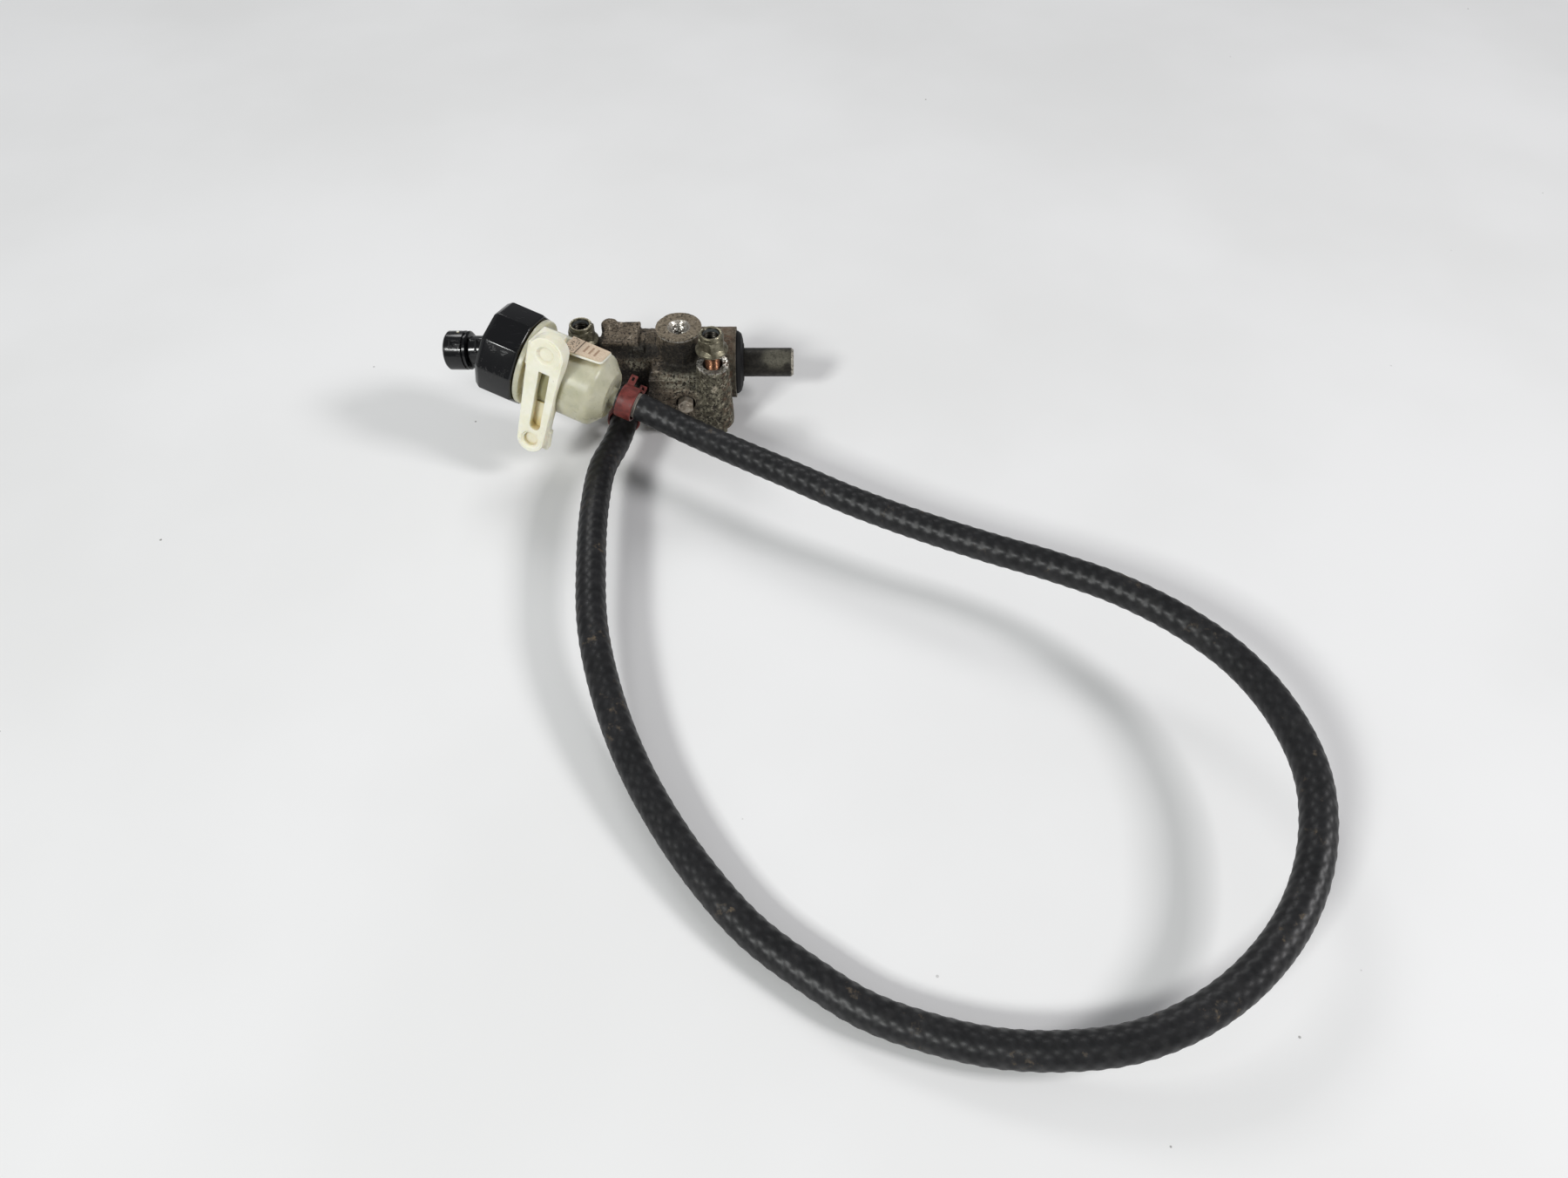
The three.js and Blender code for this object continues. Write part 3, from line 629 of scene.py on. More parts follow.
def threaded(radius, depth, pitch, z0, z1, segments=48):
    """A rod with a screw thread whose crests are at radius and roots at radius - depth."""
    steps = int((z1 - z0) / pitch * 8)
    heights = [z0 + (z1 - z0) * k / steps for k in range(steps + 1)]

    def wave(r, angle, z):
        phase = (z / pitch - angle / (2 * math.pi)) % 1
        return r - depth * min(1, max(0, 2.4 * abs(phase - 0.5) - 0.1))

    return turned([(0, z0), *[(radius, z) for z in heights], (0, z1)], segments, wave)


def settle(piece):
    """Applies the modifiers of a piece to its mesh."""
    graph = bpy.context.evaluated_depsgraph_get()
    mesh = bpy.data.meshes.new_from_object(piece.evaluated_get(graph))
    piece.modifiers.clear()
    piece.data = mesh
    return piece


def merged(pieces):
    """All pieces as one mesh, overlaps and all."""
    sheet = bmesh.new()
    for piece in pieces:
        sheet.from_mesh(piece.data)
        bpy.data.objects.remove(piece)
    result = mesh_object([], [])
    sheet.to_mesh(result.data)
    sheet.free()
    return result


def melted(pieces, voxel, rounds, strength=0.5):
    """One skin round all pieces, with its corners softened by rounds of smoothing."""
    piece = merged(pieces)
    remesh = piece.modifiers.new("skin", "REMESH")
    remesh.mode = "VOXEL"
    remesh.voxel_size = voxel
    smooth = piece.modifiers.new("soften", "SMOOTH")
    smooth.factor = strength
    smooth.iterations = rounds
    return settle(piece)


def cut(piece, *tools, operation="DIFFERENCE"):
    for tool in tools:
        step = piece.modifiers.new("cut", "BOOLEAN")
        step.operation = operation
        step.solver = "MANIFOLD"
        step.object = tool
        settle(piece)
        bpy.data.objects.remove(tool)
    return piece


def bevelled(piece, width, segments=3, angle=30):
    step = piece.modifiers.new("bevel", "BEVEL")
    step.width = width
    step.segments = segments
    step.limit_method = "ANGLE"
    step.angle_limit = math.radians(angle)
    return settle(piece)


def roughened(piece, layers, keep=None):
    """Moves each point along its normal by noise. layers are (size, depth) pairs; keep(point) scales it."""
    mesh = piece.data
    for vertex, normal in [(v, v.normal.copy()) for v in mesh.vertices]:
        move = sum(noise.noise(vertex.co / size) * depth for size, depth in layers)
        vertex.co += normal * move * (1 if keep is None else keep(vertex.co))
    return piece


def publish(piece, name, place, finish, body, *nodes, sharp=35):
    """Moves a finished mesh into the row frame, in metres, and says what it is."""
    piece.name = name
    piece.data.name = name
    piece.data.transform(Matrix.Scale(MM, 4) @ place)
    piece.data.materials.clear()
    material, slot = FINISHES[finish]
    piece.data.materials.append(material)
    piece.data.polygons.foreach_set("use_smooth", [True] * len(piece.data.polygons))
    piece.data.set_sharp_from_angle(angle=math.radians(sharp))
    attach(piece, body)
    if nodes:
        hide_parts(*nodes)
    return piece


def turn(name, place, finish, body, node, profile, segments=96):
    """A finished turned piece."""
    publish(turned(profile, segments), name, place, finish, body, node)


# ---- feed hose
HOSE_R = 7.25
HOSE_GAP = 0.3
SPOUT_END = 60.2
SLEEVE_LENGTH = 11.2
BRAID_AROUND = 8
BRAID_PITCH = 6.6
BRAID_DEPTH = 0.3

# The same route as the CAD's, in metres.
HOSE_ROUTE = [
    (-0.0393, -0.0313, 0.0439), (-0.0293, -0.0353, 0.0413), (-0.0153, -0.0423, 0.0385),
    (0.0087, -0.0573, 0.038), (0.0417, -0.0773, 0.038), (0.0727, -0.0963, 0.038),
    (0.1037, -0.1123, 0.038), (0.1347, -0.1273, 0.039), (0.1637, -0.1393, 0.039),
    (0.1917, -0.1543, 0.040), (0.2157, -0.1733, 0.041), (0.2347, -0.1963, 0.042),
    (0.2467, -0.2233, 0.042), (0.2507, -0.2533, 0.041), (0.2447, -0.2823, 0.038),
    (0.2317, -0.3073, 0.033), (0.2127, -0.3273, 0.028), (0.1907, -0.3413, 0.023),
    (0.1667, -0.3493, 0.018), (0.1427, -0.3513, 0.014), (0.1177, -0.3493, 0.0105),
    (0.0937, -0.3433, 0.0083), (0.0697, -0.3343, 0.0075), (0.0477, -0.3203, 0.0075),
    (0.0257, -0.3033, 0.0078), (0.0067, -0.2823, 0.009), (-0.0113, -0.2573, 0.011),
    (-0.0273, -0.2293, 0.014), (-0.0403, -0.1983, 0.018), (-0.0503, -0.1623, 0.022),
    (-0.0553, -0.1203, 0.024), (-0.0573, -0.0853, 0.024), (-0.0563, -0.0563, 0.023),
    (-0.0513, -0.0373, 0.0223), (-0.0489, -0.0223, 0.022),
]


def hose_line(spacing):
    """Points every spacing mm on the smooth curve through the route."""
    start = CAP_CENTRE + NOSE_AXIS * (SPOUT_END + HOSE_GAP)
    end = Vector((INLET.x, low("inlet_fitting").y - HOSE_GAP, INLET.z))
    route = [start, *[Vector(p) / MM for p in HOSE_ROUTE], end]
    route = [2 * route[0] - route[1], *route, 2 * route[-1] - route[-2]]
    fine = []
    for p0, p1, p2, p3 in zip(route, route[1:], route[2:], route[3:]):
        t1 = math.sqrt((p1 - p0).length)
        t2 = t1 + math.sqrt((p2 - p1).length)
        t3 = t2 + math.sqrt((p3 - p2).length)
        for k in range(60):
            t = t1 + (t2 - t1) * k / 60
            a1 = p0.lerp(p1, t / t1)
            a2 = p1.lerp(p2, (t - t1) / (t2 - t1))
            a3 = p2.lerp(p3, (t - t2) / (t3 - t2))
            b1 = a1.lerp(a2, t / t2)
            b2 = a2.lerp(a3, (t - t1) / (t3 - t1))
            fine.append(b1.lerp(b2, (t - t1) / (t2 - t1)))
    fine.append(end)
    return evenly(fine, spacing)


def evenly(points, spacing):
    """The same line with points an equal distance apart."""
    total = sum((b - a).length for a, b in zip(points, points[1:]))
    count = round(total / spacing)
    step = total / count
    result = [points[0]]
    travelled = 0.0
    for a, b in zip(points, points[1:]):
        length = (b - a).length
        while length and travelled + length >= step * len(result) and len(result) < count:
            result.append(a.lerp(b, (step * len(result) - travelled) / length))
        travelled += length
    result.append(points[-1])
    return result


def hose_radius(along, angle):
    """The braid under the rubber shows as rows of diamond bumps."""
    if along < SLEEVE_LENGTH:
        return HOSE_R - 0.65
    turns = BRAID_AROUND * angle / (2 * math.pi)
    first = math.cos(math.pi * (turns + along / BRAID_PITCH))
    second = math.cos(math.pi * (turns - along / BRAID_PITCH))
    bump = abs(first * second) ** 0.8
    return HOSE_R + 0.05 - BRAID_DEPTH * (1 - bump)


def feed_hose():
    sides = 56
    line = hose_line(0.8)
    step = (line[1] - line[0]).length
    side = Z_AXIS.cross(line[1] - line[0]).normalized()
    rings = []
    for i, centre in enumerate(line):
        ahead = (line[min(i + 1, len(line) - 1)] - line[max(i - 1, 0)]).normalized()
        side = (side - ahead * side.dot(ahead)).normalized()
        up = ahead.cross(side)
        angles = [2 * math.pi * k / sides for k in range(sides)]
        rings.append([centre + (side * math.cos(a) + up * math.sin(a)) * hose_radius(i * step, a)
                      for a in angles])
    hose = publish(skinned(rings), "hose_skin", IDENTITY, "hose", "cylinder", "feed_hose")


# ---- cast cylinder body
HOUSING_START = -62.8
COLLAR_START = -12.3
BORE_START = -57.3
BORE_END = 3.2


def bore_bar(radius, x0, x1):
    return placed(bar(radius, x0, x1), ON_BORE)


def upright(radius, at, z0, z1, end_radius=None):
    return placed(bar(radius, z0, z1, end_radius), Matrix.Translation((at.x, at.y, 0)))


def casting_blank():
    """The cast shape with soft corners, its machined ends left a little long."""
    spare = 1.6
    parts = [
        bore_bar(18.5, HOUSING_START, COLLAR_START + 1),
        bore_bar(19.6, COLLAR_START, HOUSING_END + spare),
        upright(9, LEFT_BOLT, FOOT_Z - spare, BOSS_TOP + spare),
        upright(10.6, RIGHT_BOLT, FOOT_Z - spare, BOSS_TOP + spare, 8.8),
        upright(12.5, PORT, 20, PORT.z + spare),
        upright(14.2, PORT, 24, 44, 12.4),
        block(LEFT_BOLT.x, -59.3, 11.7, 27.7, 9, 42),
        block(-35.3, 6, -7.3, 23.7, 10, 33),
        block(-35.3, 0, -3.3, 21.7, 32, 37),
        slab([(-34, 0), (-13, -2.5), (-4, -6), (0, 12), (-34, 14)], 36, 40),
        block(-61.3, -41.3, 14.2, 33.7, 40, 48.5),
        upright(4.7, Vector((-58.3, 30.7)), 40, 49.6),
        block(-44, -38, 12, 22, 38, 46),
        placed(bar(10.5, 0, 24), ON_INLET),
        placed(bar(9, -5, 0.6), ON_PLUG),
    ]
    return melted(parts, 0.55, 7)


def casting_grain(point):
    """How rough the skin is there. The turned collar is smoother than the cast front."""
    return 0.35 if point.x > COLLAR_START + 2 and point.y > 5 else 1.0


def cast_body():
    body = roughened(casting_blank(), [(7, 0.30), (2.4, 0.26), (1.1, 0.14)], casting_grain)
    spare = 4
    trims = [
        upright(16, PORT, PORT.z, PORT.z + spare),
        upright(12, LEFT_BOLT, BOSS_TOP, BOSS_TOP + spare),
        upright(11.5, RIGHT_BOLT, BOSS_TOP, BOSS_TOP + spare),
        upright(12, LEFT_BOLT, FOOT_Z - spare, FOOT_Z),
        upright(12.5, RIGHT_BOLT, FOOT_Z - spare, FOOT_Z),
        bore_bar(24, HOUSING_END, HOUSING_END + spare),
    ]
    bore = placed(turned([
        (0, BORE_START), (9.5, BORE_START), (9.5, BORE_END), (14, BORE_END), (14, 5.2), (15.3, 5.2),
        (15.3, 7), (14, 7), (14, 8), (17.6, 8), (17.6, HOUSING_END - 0.5), (18.2, HOUSING_END + 0.3),
        (18.2, 14), (0, 14),
    ]), ON_BORE)
    port_thread = threaded(4.95, 0.45, 1.0, PORT.z - 14, PORT.z + 0.6)
    port = placed(port_thread, Matrix.Translation((PORT.x, PORT.y, 0)))
    mouth = upright(4.4, PORT, PORT.z - 1.9, PORT.z + 0.4, 6.6)
    holes = [
        bore, port, mouth,
        upright(5.5, LEFT_BOLT, 0, 60),
        upright(5.5, RIGHT_BOLT, 0, 60),
        upright(4.9, RIGHT_BOLT, BOSS_TOP - 0.7, BOSS_TOP + 0.3, 6.1),
        placed(bar(7, 12, 30), ON_INLET),
        placed(bar(1.6, 4, 14), ON_INLET),
        placed(bar(1.35, -14, 14), aim(middle("inlet_pin"), RIGHT)),
        placed(bar(5.4, -4.5, 3), ON_PLUG),
        placed(bar(2.6, -12, 0), ON_PLUG),
    ]
    cut(body, *trims, *holes)
    publish(body, "cast_body", IDENTITY, "cast", "cylinder", "cylinder_body", sharp=40)


# ---- push rod, boot and inside of the bore
def rod_and_boot():
    turn("rod_steel_bar", ON_BORE, "rod", "plunger", "push_rod", [
        (0, 3), (6.4, 3), (8, 4.6), (8, 42.8, 0.3), (6.9, 44.1, 0.3), (0, 44.1),
    ], 128)
    turn("domed_boot", ON_BORE, "rubber", "cylinder", "rod_boot", [
        (8.3, 8.5, 0.3), (17.3, 8.5, 0.3), (17.4, 12.9, 1.0), (15.9, 14.7, 1.2), (12.6, 15.6, 1.2),
        (11.4, 15.0, 0.5), (10.4, 16.1, 0.6), (8.5, 16.0, 0.5), (8.3, 14, 0.3),
    ], 128)
    turn("piston_body", ON_BORE, "alloy", "plunger", "piston", [
        (0, -13), (9.4, -13, 0.3), (9.4, -10.3, 0.3), (6, -9.9, 0.3), (6, -4.1, 0.3), (9.4, -3.7, 0.3),
        (9.4, 2.7, 0.4), (0, 2.7),
    ])
    turn("front_cup", ON_BORE, "rubber", "plunger", "primary_cup", [
        (0, -15.3), (5.6, -15.3, 0.5), (6.6, -17.4, 0.4), (8.8, -17.6, 0.3), (9.4, -16.7, 0.3),
        (9.1, -13.3, 0.3), (0, -13.3),
    ])
    turn("rear_cup", ON_BORE, "rubber", "plunger", "secondary_cup", [
        (6.2, -9.3), (9.2, -9.3, 0.4), (9.4, -4.9, 0.3), (6.2, -4.9),
    ])
    turn("spring_seat_cap", ON_BORE, "steel", "plunger", "spring_seat", [
        (0, -19.3), (8.4, -19.3, 0.3), (8.4, -17.9, 0.3), (5.2, -17.7, 0.4), (4.6, -15.7, 0.4), (0, -15.7),
    ])
    turn("stop_washer_disc", ON_BORE, "steel", "cylinder", "stop_washer", [
        (8.4, 3.4), (13.6, 3.4, 0.3), (13.6, 4.9, 0.3), (8.4, 4.9),
    ])
    coil_spring()


def wire_ring(centre, outward, radius, sides):
    """One ring of a round wire that runs round the Z axis."""
    angles = [-2 * math.pi * k / sides for k in range(sides)]
    return [centre + (outward * math.cos(a) + Z_AXIS * math.sin(a)) * radius for a in angles]


def coil_spring():
    turns, wire, radius, sides = 6, 0.8, 7.0, 10
    start = low("return_spring").x
    end = high("return_spring").x
    count = turns * 32
    rings = []
    for i in range(count + 1):
        angle = 2 * math.pi * turns * i / count
        outward = Vector((math.cos(angle), math.sin(angle), 0))
        rise = start + wire + (end - start - 2 * wire) * i / count
        rings.append(wire_ring(outward * radius + Z_AXIS * rise, outward, wire, sides))
    spring = publish(skinned(rings), "spring_coil", ON_BORE, "steel", "cylinder", "return_spring")
    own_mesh(spring)


# ---- bolts and nuts
HEX_FLATS = 13
THREAD_R = 4.0
THREAD_PITCH = 1.25
THREAD_START = 36
NUT_RIM_R = 6.2
INSERT_R = 5.2


def hex_prism(flats, z0, z1, chamfer):
    """A hexagonal bar whose corners are turned off at the top."""
    corner = flats / math.sqrt(3)
    cone = turned([(0, z0), (corner + 0.1, z0), (corner + 0.1, z1 - chamfer), (corner - 1.7 * chamfer, z1),
                   (0, z1)])
    return cut(slab(polygon(6, corner, math.pi / 6), z0 - 0.01, z1 + 0.01), cone, operation="INTERSECT")


def flange_nut():
    body = melted([
        turned([(0, 0), (8.8, 0), (8.8, 1.2), (6.9, 2.8), (0, 2.8)]),
        hex_prism(HEX_FLATS + 0.2, 1.5, 8.6, 0.45),
        bar(NUT_RIM_R, 8, 10.1),
        turned([(4.2, 9.6), (NUT_RIM_R, 9.6), (NUT_RIM_R, 10.6), (5.8, 11.1), (4.9, 11.0), (4.2, 10.3)]),
    ], 0.17, 2)
    thread = threaded(THREAD_R + 0.55, 0.42, THREAD_PITCH, -1, 9)
    return cut(body, bar(INSERT_R + 0.05, 8.7, 10.3), bar(4.3, 10.2, 12), thread)


def nut_insert():
    return turned([(4.15, 8.8), (INSERT_R, 8.8), (INSERT_R, 9.9, 0.3), (4.3, 10.2, 0.3)])


def bolt(length):
    """Hexagon head on the floor side, plain shank and a rolled thread."""
    head = melted([hex_prism(HEX_FLATS, 0.05, 5.6, 0.6), bar(7.9, 4.6, 5.9)], 0.22, 2)
    end = THREAD_START + 1
    shank = turned([(0, 5), (THREAD_R, 5), (THREAD_R, end - 0.4), (3.5, end), (0, end)])
    thread = threaded(THREAD_R, 0.55, THREAD_PITCH, THREAD_START, FOOT_Z + length)
    return head, merged([shank, thread])


def fasteners():
    sides = [
        ("left", LEFT_BOLT, 45, "cylinder", "cylinder"),
        ("right", RIGHT_BOLT, 54, "right_nut", "nut_carrier"),
    ]
    for side, at, length, nut_body, insert_body in sides:
        place = Matrix.Translation((at.x, at.y, 0))
        head, shank = bolt(length)
        publish(head, f"bolt_head_{side}", place, "zinc", "cylinder", f"bolt_{side}")
        publish(shank, f"bolt_thread_{side}", place, "copper", "cylinder", f"bolt_{side}")
        seat = Matrix.Translation((at.x, at.y, low(f"nut_{side}").z))
        publish(flange_nut(), f"flange_nut_{side}", seat, "zinc", nut_body, f"nut_{side}")
        publish(nut_insert(), f"insert_ring_{side}", seat, "grey", insert_body, f"nut_insert_{side}")


# ---- plug, inlet fitting and clamps
def small_fittings():
    plug = melted([
        hex_prism(8, -3, 4.4, 0.5),
        turned([(0, 4), (3, 4), (2.8, 5.2), (2.2, 5.4), (0, 5.4)]),
        bar(2.4, -11, -2.6),
    ], 0.16, 2)
    publish(plug, "bleed_plug", ON_PLUG, "plug", "cylinder", "hex_plug", sharp=30)
    turn("plug_seal", ON_PLUG, "rubber", "cylinder", "plug_washer", [
        (2.7, -4.2), (5.0, -4.2, 0.3), (5.0, -3.3, 0.3), (2.7, -3.3),
    ])
    turn("inlet_spigot", ON_INLET, "gloss", "cylinder", "inlet_fitting", [
        (2.8, 13.4), (4.3, 13.4, 0.3), (4.3, 19.4, 0.4), (6.4, 19.5, 0.4), (6.4, 21, 0.4), (4.6, 21.2, 0.4),
        (4.6, 24.2, 0.4), (6.8, 24.4, 0.4), (6.8, 26.6, 0.4), (4.3, 26.8, 0.3), (4.3, 30, 0.2),
        (4.7, 30.6, 0.2), (4.2, 33, 0.3), (2.8, 33, 0.2),
    ])
    turn("inlet_seal", ON_INLET, "rubber", "cylinder", "inlet_grommet", [
        (4.6, 12.3), (6.8, 12.3, 0.5), (6.8, 19.2, 0.6), (4.6, 19.2, 0.4),
    ])
    pin = turned([(0, -8.5), (1.0, -8.5, 0.3), (1.1, 8.5, 0.3), (0, 8.5)], 24)
    publish(pin, "roll_pin", aim(middle("inlet_pin"), RIGHT), "steel", "cylinder", "inlet_pin")


def clamp_band():
    """A flat band round the hose with two slotted ears that a tool squeezes."""
    inner, outer, half = HOSE_R + 0.35, HOSE_R + 1.65, 4.5
    band = bevelled(turned([(inner, -half), (outer, -half), (outer, half), (inner, half)]), 0.35)
    pieces = [band]
    for side in (-1, 1):
        z0 = -half if side < 0 else half - 4
        x0, x1 = (-4.6, -3.2) if side < 0 else (3.2, 4.6)
        ear = block(x0, x1, outer - 1, outer + 4.9, z0 + 0.1, z0 + 3.9)
        cut(ear, block(x0 - 1, x1 + 1, outer + 1.5, outer + 3.6, z0 + 1.3, z0 + 2.7))
        pieces.append(bevelled(ear, 0.3))
    return melted(pieces, 0.2, 2)


def clamps():
    at_nose = aim(CAP_CENTRE + NOSE_AXIS * 66.5, NOSE_AXIS)
    publish(clamp_band(), "red_clamp_nose", at_nose, "red", "cylinder", "outlet_clamp")
    at_inlet = aim((INLET.x, middle("inlet_clamp").y, INLET.z), FRONT)
    publish(clamp_band(), "red_clamp_inlet", at_inlet, "red", "cylinder", "inlet_clamp")


# ---- reservoir bottle and cap
CAP_HALF = 10.5
BODY_R = 19.5


def bottle():
    flange = -CAP_HALF - 0.6

    def seam(radius, angle, z):
        ridge = max(0.0, 1 - abs(math.sin(angle)) * 24)
        return radius + (0.12 * ridge if radius > BODY_R - 0.5 and z < flange - 3.5 else 0)

    shell = turned([
        (17.5, 5), (17.5, -49.2, 4), (11.2, -55.0, 2), (2.9, -55.2, 1), (2.9, -60.2), (4.6, -60.2, 0.3),
        (4.6, -57, 0.6), (12.2, -56.9, 1.6), (19.5, -50.3, 4.5), (19.5, -15, 0.8), (22.6, -14.2, 0.8),
        (23, -13.6, 0.5), (23, -11.1, 0.6), (20.3, -11.1, 0.3), (20.3, 5, 0.3),
    ], 160, seam)
    publish(shell, "bottle_shell", ON_RESERVOIR, "milk", "cylinder", "reservoir_bottle", sharp=50)
    turn("neck_seal", ON_RESERVOIR, "rubber", "cylinder", "cap_seal", [
        (17.5, 5.2), (20.3, 5.2, 0.3), (20.3, 6.4, 0.3), (17.5, 6.4),
    ])


def cap_grip():
    """The screw ring: ten broad faces, a turned-in top edge and a skirt."""
    rows = [(24.2, -CAP_HALF), (25.0, -9.6), (25.0, 7.6), (22.8, CAP_HALF)]
    rings = [[(x, y, z) for x, y in polygon(10, radius, -math.pi / 2)] for radius, z in rows]
    grip = bevelled(skinned(rings), 0.9, 4, 12)
    inside = turned([
        (0, -CAP_HALF - 1), (21.4, -CAP_HALF - 1), (20.8, -CAP_HALF + 0.8), (20.8, 8.2), (12.5, 8.2),
        (12.5, 9.9), (13.3, CAP_HALF + 1), (0, CAP_HALF + 1),
    ], 128)
    cut(grip, inside)
    catch = melted([block(-2, 2, -25.2, -22.8, -CAP_HALF + 0.2, -CAP_HALF + 2.8)], 0.2, 4)
    publish(catch, "cap_catch", ON_RESERVOIR @ spun(280), "gloss", "cap")
    publish(grip, "cap_grip", ON_RESERVOIR, "gloss", "cap", "cap_ring", sharp=50)


# ---- level sensor and its socket
def level_sensor():
    turn("sensor_head", ON_RESERVOIR, "gloss", "sensor", "level_sensor", [
        (0, 6.6), (20, 6.6, 0.3), (20, 7.9, 0.3), (12, 7.9, 0.3), (12, 11, 0.4), (10.6, 12.4, 0.4),
        (0, 12.4),
    ])
    turn("sensor_stem", ON_RESERVOIR, "gloss", "sensor", "level_sensor", [
        (0, -38), (3.3, -38, 0.3), (3.6, -37.5, 0.2), (3.6, 6.8), (0, 6.8),
    ], 48)
    publish(socket_shell(), "plug_shell", ON_SOCKET, "gloss", "sensor", "level_sensor")
    turn("float_clip", ON_RESERVOIR, "steel", "sensor", "float_stop", [
        (3.8, -37.2), (6.4, -37.2, 0.3), (6.4, -36, 0.3), (3.8, -36),
    ], 48)
    for side, offset in (("upper", 2.6), ("lower", -2.6)):
        pin = bevelled(block(-0.4, 0.4, offset - 1, offset + 1, 16.3, 24), 0.25, 2)
        publish(pin, f"blade_{side}", ON_SOCKET, "brass", "sensor", f"terminal_{side}")
    turn("mouth_seal", ON_SOCKET, "orange", "sensor", "socket_seal", [
        (7, 16.3), (8.1, 16.3, 0.3), (8.3, 17, 0.2), (8, 17.6, 0.2), (8.3, 18.3, 0.2), (8, 19, 0.3),
        (7, 19, 0.3),
    ])
    turn("foam_float", ON_RESERVOIR, "foam", "float", "level_float", [
        (4.1, -35.7, 0.5), (12, -35.7, 0.8), (12, -21.7, 0.8), (4.1, -21.7, 0.5),
    ])


def socket_shell():
    """Barrel with a locking groove, ribs along its neck and a raised latch."""
    barrel = turned([
        (0, -1), (7.4, -1), (7.4, 14.2, 0.3), (9.2, 14.5, 0.3), (10.1, 15.3, 0.3), (10.1, 15.9, 0.2),
        (9.3, 16.1, 0.2), (9.3, 17.0, 0.2), (10.2, 17.3, 0.2), (10.2, 26.3, 0.4), (9.4, 27.2, 0.3),
        (0, 27.2),
    ], 128)
    front = -40
    solids = [barrel]
    for angle in (front - 34, front + 34, front - 90, front + 90, front + 180):
        rib = block(6.2, 7.8, -0.8, 0.8, 1, 13.4)
        solids.append(placed(bevelled(rib, 0.25, 2), spun(angle)))
    for z in (3.5, 6.5, 9.5):
        tick = bevelled(block(6.4, 7.7, -3.4, 3.4, z, z + 1.1), 0.2, 2)
        solids.append(placed(tick, spun(front)))
    frame_bars = [(-2.6, -1.8, 17.6, 23.4), (1.8, 2.6, 17.6, 23.4), (-2.6, 2.6, 17.4, 18.3),
                  (-2.6, 2.6, 22.8, 23.7), (-0.5, 0.5, 18.2, 21.4)]
    for y0, y1, z0, z1 in frame_bars:
        raised = bevelled(block(9.3, 10.6, y0, y1, z0, z1), 0.2, 2)
        solids.append(placed(raised, spun(front)))
    solids.append(bevelled(block(-3, 3, 9.2, 11.5, 16.5, 24), 0.6))
    shell = cut(solids[0], *solids[1:], operation="UNION")
    return cut(shell, bar(8.4, 16, 28))


def witness_dot():
    """A pale moulded peg that shows through the barrel near its mouth."""
    peg = turned([(0, 9.5), (0.75, 9.5), (0.75, 10.6, 0.25), (0, 10.65)], 32)
    place = ON_SOCKET @ spun(10) @ aim((0, 0, 20.5), RIGHT)
    publish(peg, "lock_peg", place, "peg", "sensor")


# ---- bracket and label
ARM = {"face": -23.6, "back": -15.0, "z": -26.0, "high": 21.4, "low": -30.5, "high_r": 9.6, "low_r": 7.4}


def facing(piece):
    """Turns a piece drawn in X and Y, rising along Z, to stand out of the bracket's face."""
    return placed(piece, Matrix.Rotation(math.radians(90), 4, "X"))


def arm_disc(x, radius, depth_from, depth_to, deep_radius=None):
    """A round bar across the arm, between two depths measured towards the back."""
    start = radius if deep_radius is None else deep_radius
    return facing(placed(bar(start, -depth_to, -depth_from, radius), Matrix.Translation((x, ARM["z"], 0))))


def arm_slab(outline, depth_from, depth_to):
    return facing(slab(outline, -depth_to, -depth_from))


def arm_outline():
    z = ARM["z"]
    return [*arc(ARM["low"], z, ARM["low_r"], 90, 270), *arc(ARM["high"], z, ARM["high_r"], -90, 90)]


def bracket():
    face, back, z = ARM["face"], ARM["back"], ARM["z"]
    body = melted([
        arm_slab(arm_outline(), face, back),
        block(12, 25.4, face + 1.2, -4, z - 2.5, z + 10.4),
        arm_slab([(-36, z - 8.9), (-25, z - 8.7), (-24.5, z - 5), (-24.5, z), (-36, z)],
                 face + 4.4, back + 0.5),
    ], 0.42, 5)
    slot_z = z - 1.2
    half = 3.0
    slot = [(-9, slot_z - half), (11.5, slot_z - half), (11.5, slot_z + half), (-9, slot_z + half)]
    recess = [*arc(-20.5, slot_z, half, 90, 270, 8), (-8, slot_z - half), (-8, slot_z + half)]
    cut(body,
        bar(BODY_R + 0.3, -48.6, -CAP_HALF, segments=160),
        arm_disc(ARM["high"], 5.4, face - 0.4, face + 1.6, 3.6),
        arm_disc(ARM["low"], 5.6, face - 0.4, face + 0.9, 4.4),
        arm_disc(ARM["low"], 4.4, face - 1, face + 2.6, 3.6),
        arm_slab(slot, face - 1, back + 2),
        arm_slab(recess, face - 1, face + 5))
    for radius, width in ((7.9, 0.5), (9.3, 0.4)):
        ridge = facing(placed(swept_arc(radius, width, -150, 20), Matrix.Translation((ARM["high"], z, 0))))
        cut(body, placed(ridge, Matrix.Translation((0, face + 0.2, 0))), operation="UNION")
    publish(body, "arm_bracket", ON_RESERVOIR, "cream", "cylinder", "reservoir_bracket", sharp=45)


def swept_arc(radius, width, start, end, sides=10):
    """A round ridge that follows part of a circle, thinner at its ends."""
    steps = 40
    rings = []
    for i in range(steps + 1):
        angle = math.radians(start + (end - start) * i / steps)
        outward = Vector((math.cos(angle), math.sin(angle), 0))
        taper = width * max(0.25, min(1, 6 * min(i, steps - i) / steps))
        rings.append(wire_ring(outward * radius, outward, taper, sides))
    return skinned(rings)


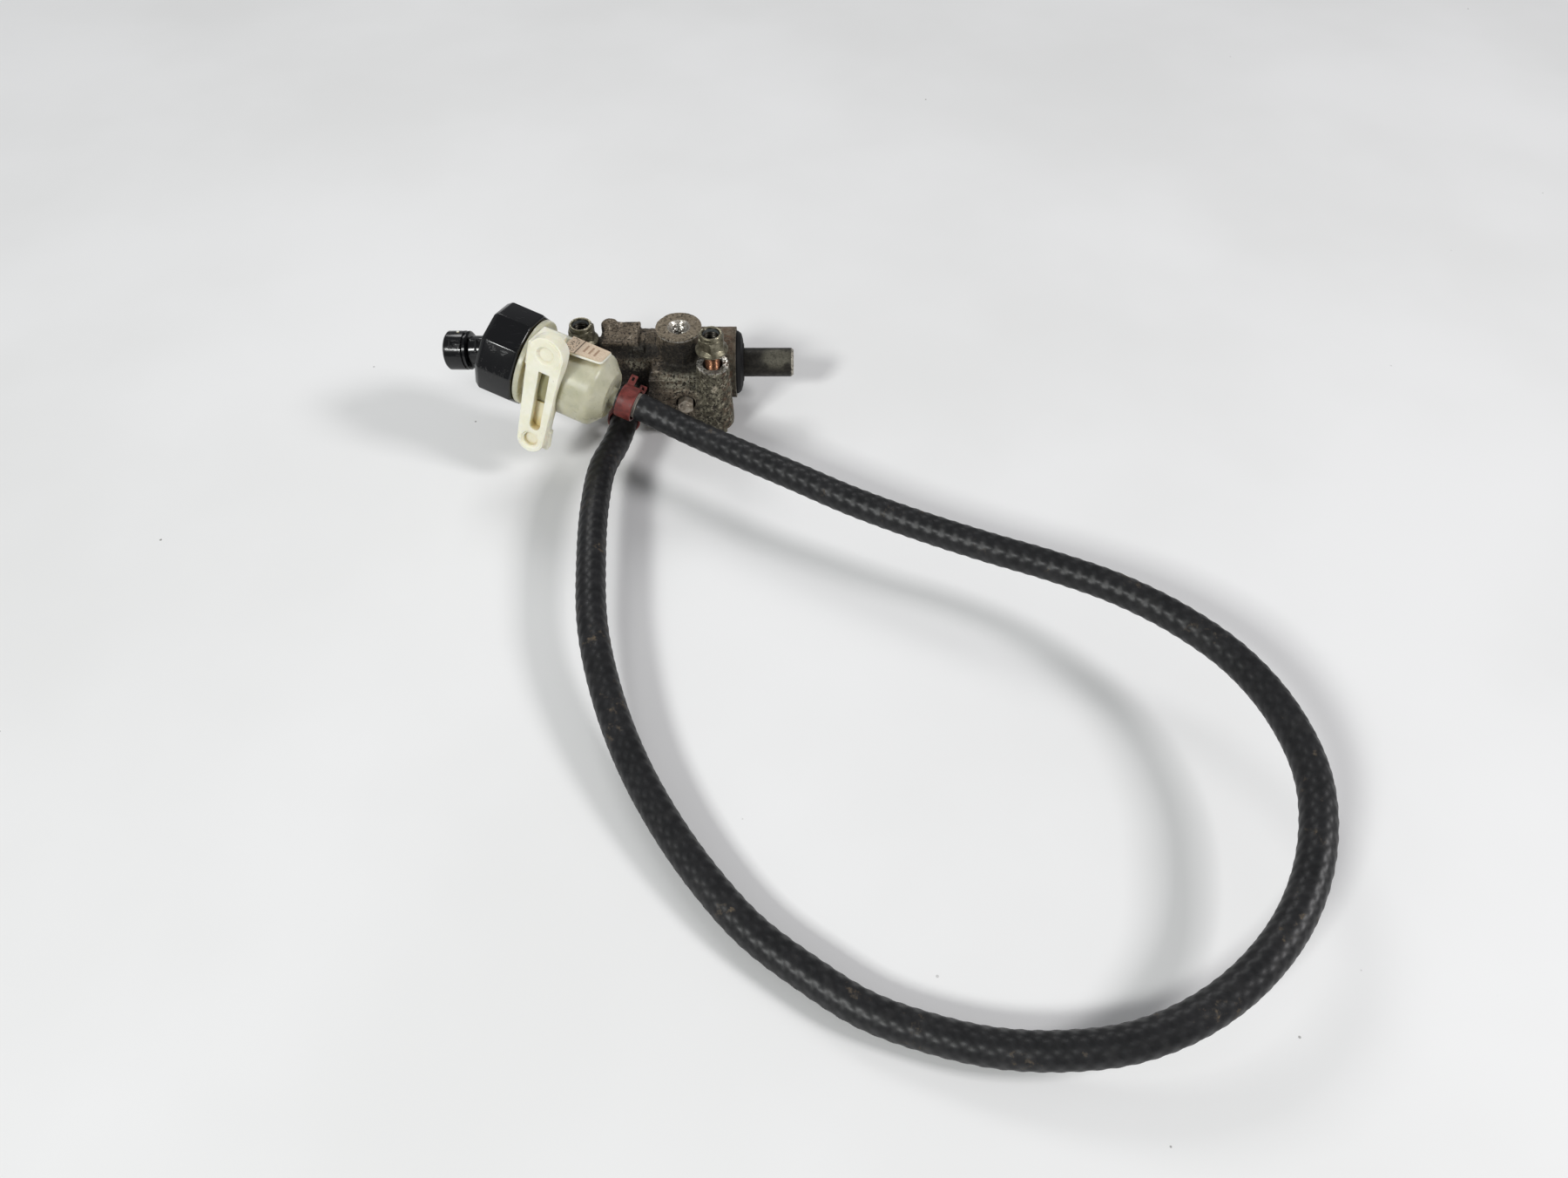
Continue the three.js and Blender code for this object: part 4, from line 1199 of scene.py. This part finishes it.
TAB = {"x": 20.6, "y0": -10.0, "y1": 3.4, "z0": -51.0, "z1": -29.0, "slant": 3.0}
ON_TAB = ON_RESERVOIR @ Matrix(((0, 0, 1, TAB["x"]), (0, 1, 0, 0), (-1, 0, 0, 0), (0, 0, 0, 1)))


def label_tab():
    """A thin plate drawn with X down the bottle and Y across it, with a paper label on top."""
    x0, x1 = -TAB["z1"], -TAB["z0"]
    y0, y1 = TAB["y0"], TAB["y1"]
    outline = [(x0, y0 - TAB["slant"]), *arc(x1 - 3, y0 + 3, 3, -90, 0, 8),
               *arc(x1 - 1, y1 - 1, 1, 0, 90, 5), (x0, y1)]
    plate = bevelled(slab(outline, 0, 1.2), 0.25, 2)
    publish(plate, "tab_plate", ON_TAB, "cream", "cylinder", "label_tab")
    inset = 0.4
    paper = [(x0 + 0.4, y0 + inset - TAB["slant"]), *arc(x1 - 3.2, y0 + 3, 3 - inset, -90, -10, 6),
             (x1 - 0.6, y1 - inset), (x0 + 0.4, y1 - inset)]
    sheet = slab(paper, 1.4, 1.62)
    uv = sheet.data.uv_layers.new(name="sheet")
    for loop in sheet.data.loops:
        point = sheet.data.vertices[loop.vertex_index].co
        uv.data[loop.index].uv = ((point.x - x0) / (x1 - x0), (point.y - y0) / (y1 - y0))
    publish(sheet, "paper_label", ON_TAB, "label", "cylinder", "label")


# ---- snap ring, carried over from the CAD
def carried_over():
    frame["nodes"]["snap_ring"].data.materials.clear()
    frame["nodes"]["snap_ring"].data.materials.append(FINISHES["clip"][0])


# ---- floor and lights
def floor():
    half = 12.0
    cells = 24
    row = cells + 1
    points = [(-half + 2 * half * i / cells, -half + 2 * half * k / cells, -0.0004)
              for i in range(row) for k in range(row)]
    faces = [(start, start + row, start + row + 1, start + 1)
             for start in (i * row + k for i in range(cells) for k in range(cells))]
    table = mesh_object(points, faces, "table_top")
    table.data.materials.append(floor_paint())


def soft_light(name, direction, distance, size, power, color):
    data = bpy.data.lights.new(name, "AREA")
    data.shape = "RECTANGLE"
    data.size, data.size_y = size
    data.energy = power
    data.color = color
    lamp = bpy.data.objects.new(name, data)
    middle_of_part = (CAD_LOW + CAD_HIGH) / 2
    lamp.location = middle_of_part + Vector(direction).normalized() * distance
    lamp.rotation_mode = "QUATERNION"
    lamp.rotation_quaternion = (middle_of_part - lamp.location).to_track_quat("-Z", "Y")
    bpy.context.scene.collection.objects.link(lamp)


def studio():
    floor()
    soft_light("key_light", (-0.8, -0.95, 1.0), 2.6, (0.55, 0.45), 40, (0.985, 1.0, 0.985))
    soft_light("side_light", (1.15, -0.25, 0.95), 2.4, (0.5, 0.5), 28, (1.0, 0.985, 0.995))
    soft_light("rear_light", (-0.5, 1.3, 1.2), 2.8, (1.0, 0.7), 15, (1.0, 1.0, 1.0))
    world = bpy.data.worlds.new("pale_room")
    world.use_nodes = True
    world.node_tree.nodes["Background"].inputs["Color"].default_value = (0.95, 0.97, 1.0, 1)
    world.node_tree.nodes["Background"].inputs["Strength"].default_value = 0.25
    bpy.context.scene.world = world
    bpy.context.scene.view_settings.view_transform = "Standard"


# ---- the whole part
place_camera()
FINISHES = shared_finishes()
feed_hose()
cast_body()
rod_and_boot()
fasteners()
small_fittings()
clamps()
bottle()
cap_grip()
level_sensor()
witness_dot()
bracket()
label_tab()
carried_over()
studio()
